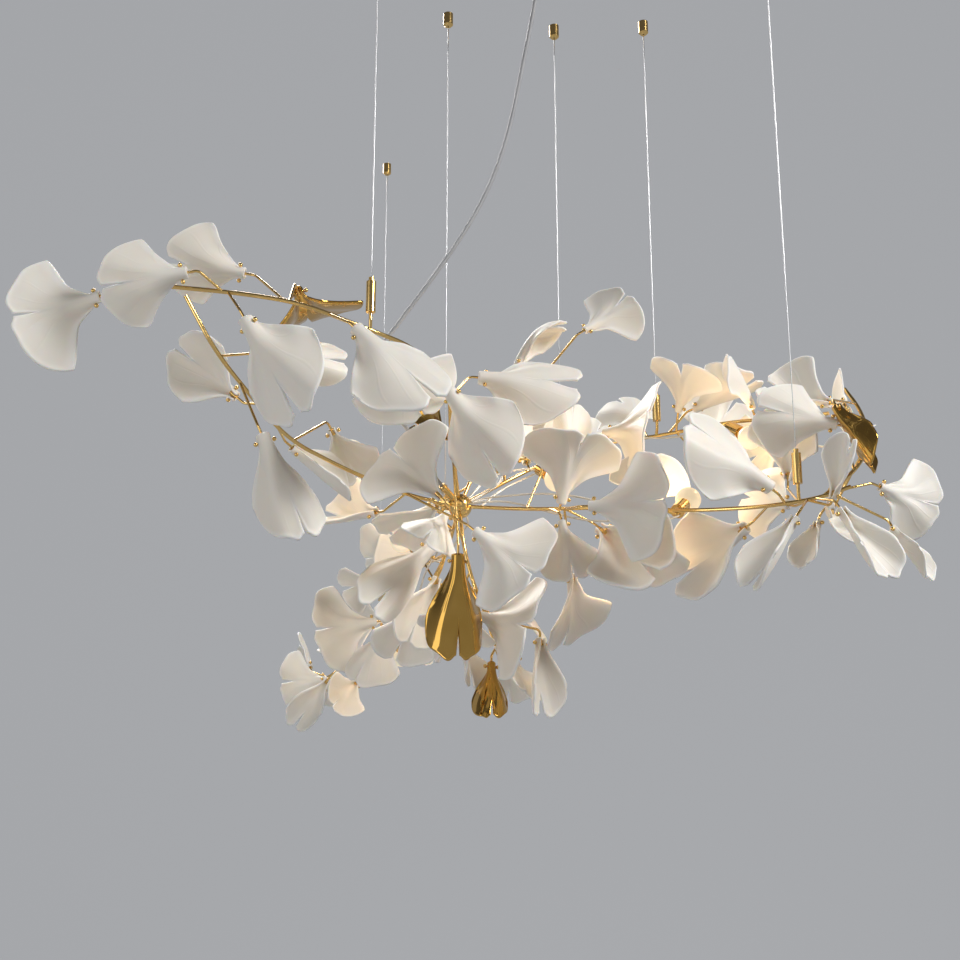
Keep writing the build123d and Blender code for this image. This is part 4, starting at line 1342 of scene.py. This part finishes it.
@dataclass(frozen=True)
class SoftBox:
    """One large studio lamp."""

    name: str
    place: Point
    aim: Point
    size: float
    power: float
    colour: Colour

    def build(self) -> None:
        """Adds the lamp, turned to its aim."""
        light = bpy.data.lights.new(self.name, "AREA")
        light.energy = self.power
        light.size = self.size
        light.color = self.colour
        obj = add_object(self.name, light)
        obj.location = self.place
        obj.rotation_mode = "QUATERNION"
        obj.rotation_quaternion = (Vector(self.aim) - Vector(self.place)).to_track_quat("-Z", "Y")


@dataclass(frozen=True)
class Studio:
    """Camera, soft light and a plain pale backdrop."""

    floor_z: float = -2.4
    wall_y: float = 4.6
    curve_r: float = 1.2
    wall_top: float = 4.0
    front_y: float = -25.0
    half_width: float = 25.0
    backdrop: Colour = (0.44, 0.45, 0.47)
    plain_share: float = 0.8
    horizon: Colour = (0.367, 0.376, 0.392)
    overhead: Colour = (0.11, 0.11, 0.12)
    fade: tuple[float, float] = (0.05, 0.55)
    ambient: float = 0.15
    boxes: tuple[SoftBox, ...] = (
        SoftBox("key", (2.2, -1.5, 0.9), (0.05, 0.1, -0.7), 0.9, 84.0, (1.0, 0.98, 0.95)),
        SoftBox("fill", (-2.6, -2.0, -0.4), (0.0, 0.1, -0.7), 2.0, 19.0, (1.0, 0.99, 0.97)),
        SoftBox("low", (-1.9, -1.7, -1.9), (-0.05, 0.1, -0.8), 0.7, 7.0, (1.0, 0.99, 0.97)),
        SoftBox("back", (-1.0, 2.2, 1.2), (0.0, 0.2, -0.7), 1.2, 70.0, (1.0, 0.97, 0.93)),
    )

    CURVE_STEPS = 17
    COLUMNS = 9

    def camera(self) -> None:
        """Adds the camera at the photograph's place, pitched up from level."""
        data = bpy.data.cameras.new("camera")
        data.sensor_width = SENSOR_MM
        data.lens = FOCAL_PIXELS / IMAGE_SIZE * SENSOR_MM
        camera = add_object("camera", data)
        camera.location = CAMERA_PLACE
        camera.rotation_euler = (math.radians(90.0 + CAMERA_PITCH), 0.0, 0.0)
        bpy.context.scene.camera = camera

    def seen(self, sheet: NodeSheet) -> Socket:
        """Share of camera, glossy and transmission rays, as one value."""
        path = sheet.add("ShaderNodeLightPath").outputs
        first = sheet.calc("MAXIMUM", path["Is Camera Ray"], path["Is Glossy Ray"])
        return sheet.calc("MAXIMUM", first, path["Is Transmission Ray"])

    def world(self) -> None:
        """Even ambient light; where the world itself is seen, the horizon's grey darkens overhead."""
        world = bpy.data.worlds.new("studio")
        world.use_nodes = True
        sheet = NodeSheet(world.node_tree)
        light = sheet.add("ShaderNodeBackground", Color=WHITE, Strength=self.ambient)
        place = sheet.add("ShaderNodeTexCoord").outputs["Generated"]
        height = sheet.add("ShaderNodeSeparateXYZ", Vector=place).outputs["Z"]
        share = sheet.ramp(height, *self.fade, interpolation_type="SMOOTHSTEP")
        grey = sheet.blend(share, (*self.horizon, 1.0), (*self.overhead, 1.0))
        shown = sheet.add("ShaderNodeBackground", Color=grey, Strength=1.0)
        shaders = (light.outputs["Background"], shown.outputs["Background"])
        mix = sheet.ordered("ShaderNodeMixShader", self.seen(sheet), *shaders)
        sheet.add("ShaderNodeOutputWorld", Surface=mix)
        bpy.context.scene.world = world

    def cove(self) -> None:
        """Floor that curves up into a wall: flat, quarter circle and upright, carried along X."""
        a = np.linspace(0.0, 0.5 * np.pi, self.CURVE_STEPS)
        bend_y = self.wall_y - self.curve_r + self.curve_r * np.sin(a)
        bend_z = self.floor_z + self.curve_r - self.curve_r * np.cos(a)
        y = np.concatenate([[self.front_y], bend_y, [self.wall_y]])
        z = np.concatenate([[self.floor_z], bend_z, [self.wall_top]])
        x = np.linspace(-self.half_width, self.half_width, self.COLUMNS)
        points = np.stack(np.broadcast_arrays(x[None, :], y[:, None], z[:, None]), axis=-1)
        ids = np.arange(points.shape[0] * points.shape[1]).reshape(points.shape[:2])
        quads = grid_quads(ids)[:, ::-1]
        skin = Skin(points.reshape(-1, 3) / MM, quads, np.zeros((ids.size, 2)), np.zeros(ids.size))
        obj = skin.to_object("backdrop")
        obj.data.materials.append(self.paper())

    def paper(self) -> Material:
        """Matt pale paper that keeps shadows and shows its own grey to the camera."""
        material = bpy.data.materials.new("backdrop_paper")
        material.use_nodes = True
        sheet = NodeSheet(material.node_tree)
        grey = (*self.backdrop, 1.0)
        matt = sheet.add("ShaderNodeBsdfDiffuse", Color=grey).outputs["BSDF"]
        plain = sheet.add("ShaderNodeEmission", Color=grey, Strength=1.0).outputs["Emission"]
        share = sheet.calc("MULTIPLY", self.seen(sheet), self.plain_share)
        mix = sheet.ordered("ShaderNodeMixShader", share, matt, plain)
        sheet.add("ShaderNodeOutputMaterial", Surface=mix)
        return material

    def build(self) -> None:
        """Sets up the camera, the light and the backdrop."""
        bpy.context.scene.view_settings.view_transform = "Standard"
        self.camera()
        self.world()
        self.cove()
        for box in self.boxes:
            box.build()


def dress_nodes() -> None:
    """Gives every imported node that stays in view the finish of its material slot."""
    for part in frame["record"]["subparts"]:
        node = frame["nodes"][part["node"]]
        material = FINISHES[part["material_slot"]].material()
        node.data.materials.clear()
        node.data.materials.append(material)


def main() -> None:
    """Builds the studio, the leaves, the lamps and the suspension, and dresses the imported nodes."""
    logging.basicConfig(level=logging.INFO, format="%(message)s")
    Studio().build()
    PowerCord().build()
    for lamp in LAMPS:
        lamp.build()
    Suspension().build()
    for spray in SPRAYS:
        spray.build(FINISHES[spray.slot].material())
    dress_nodes()


if __name__ == "__main__":
    main()
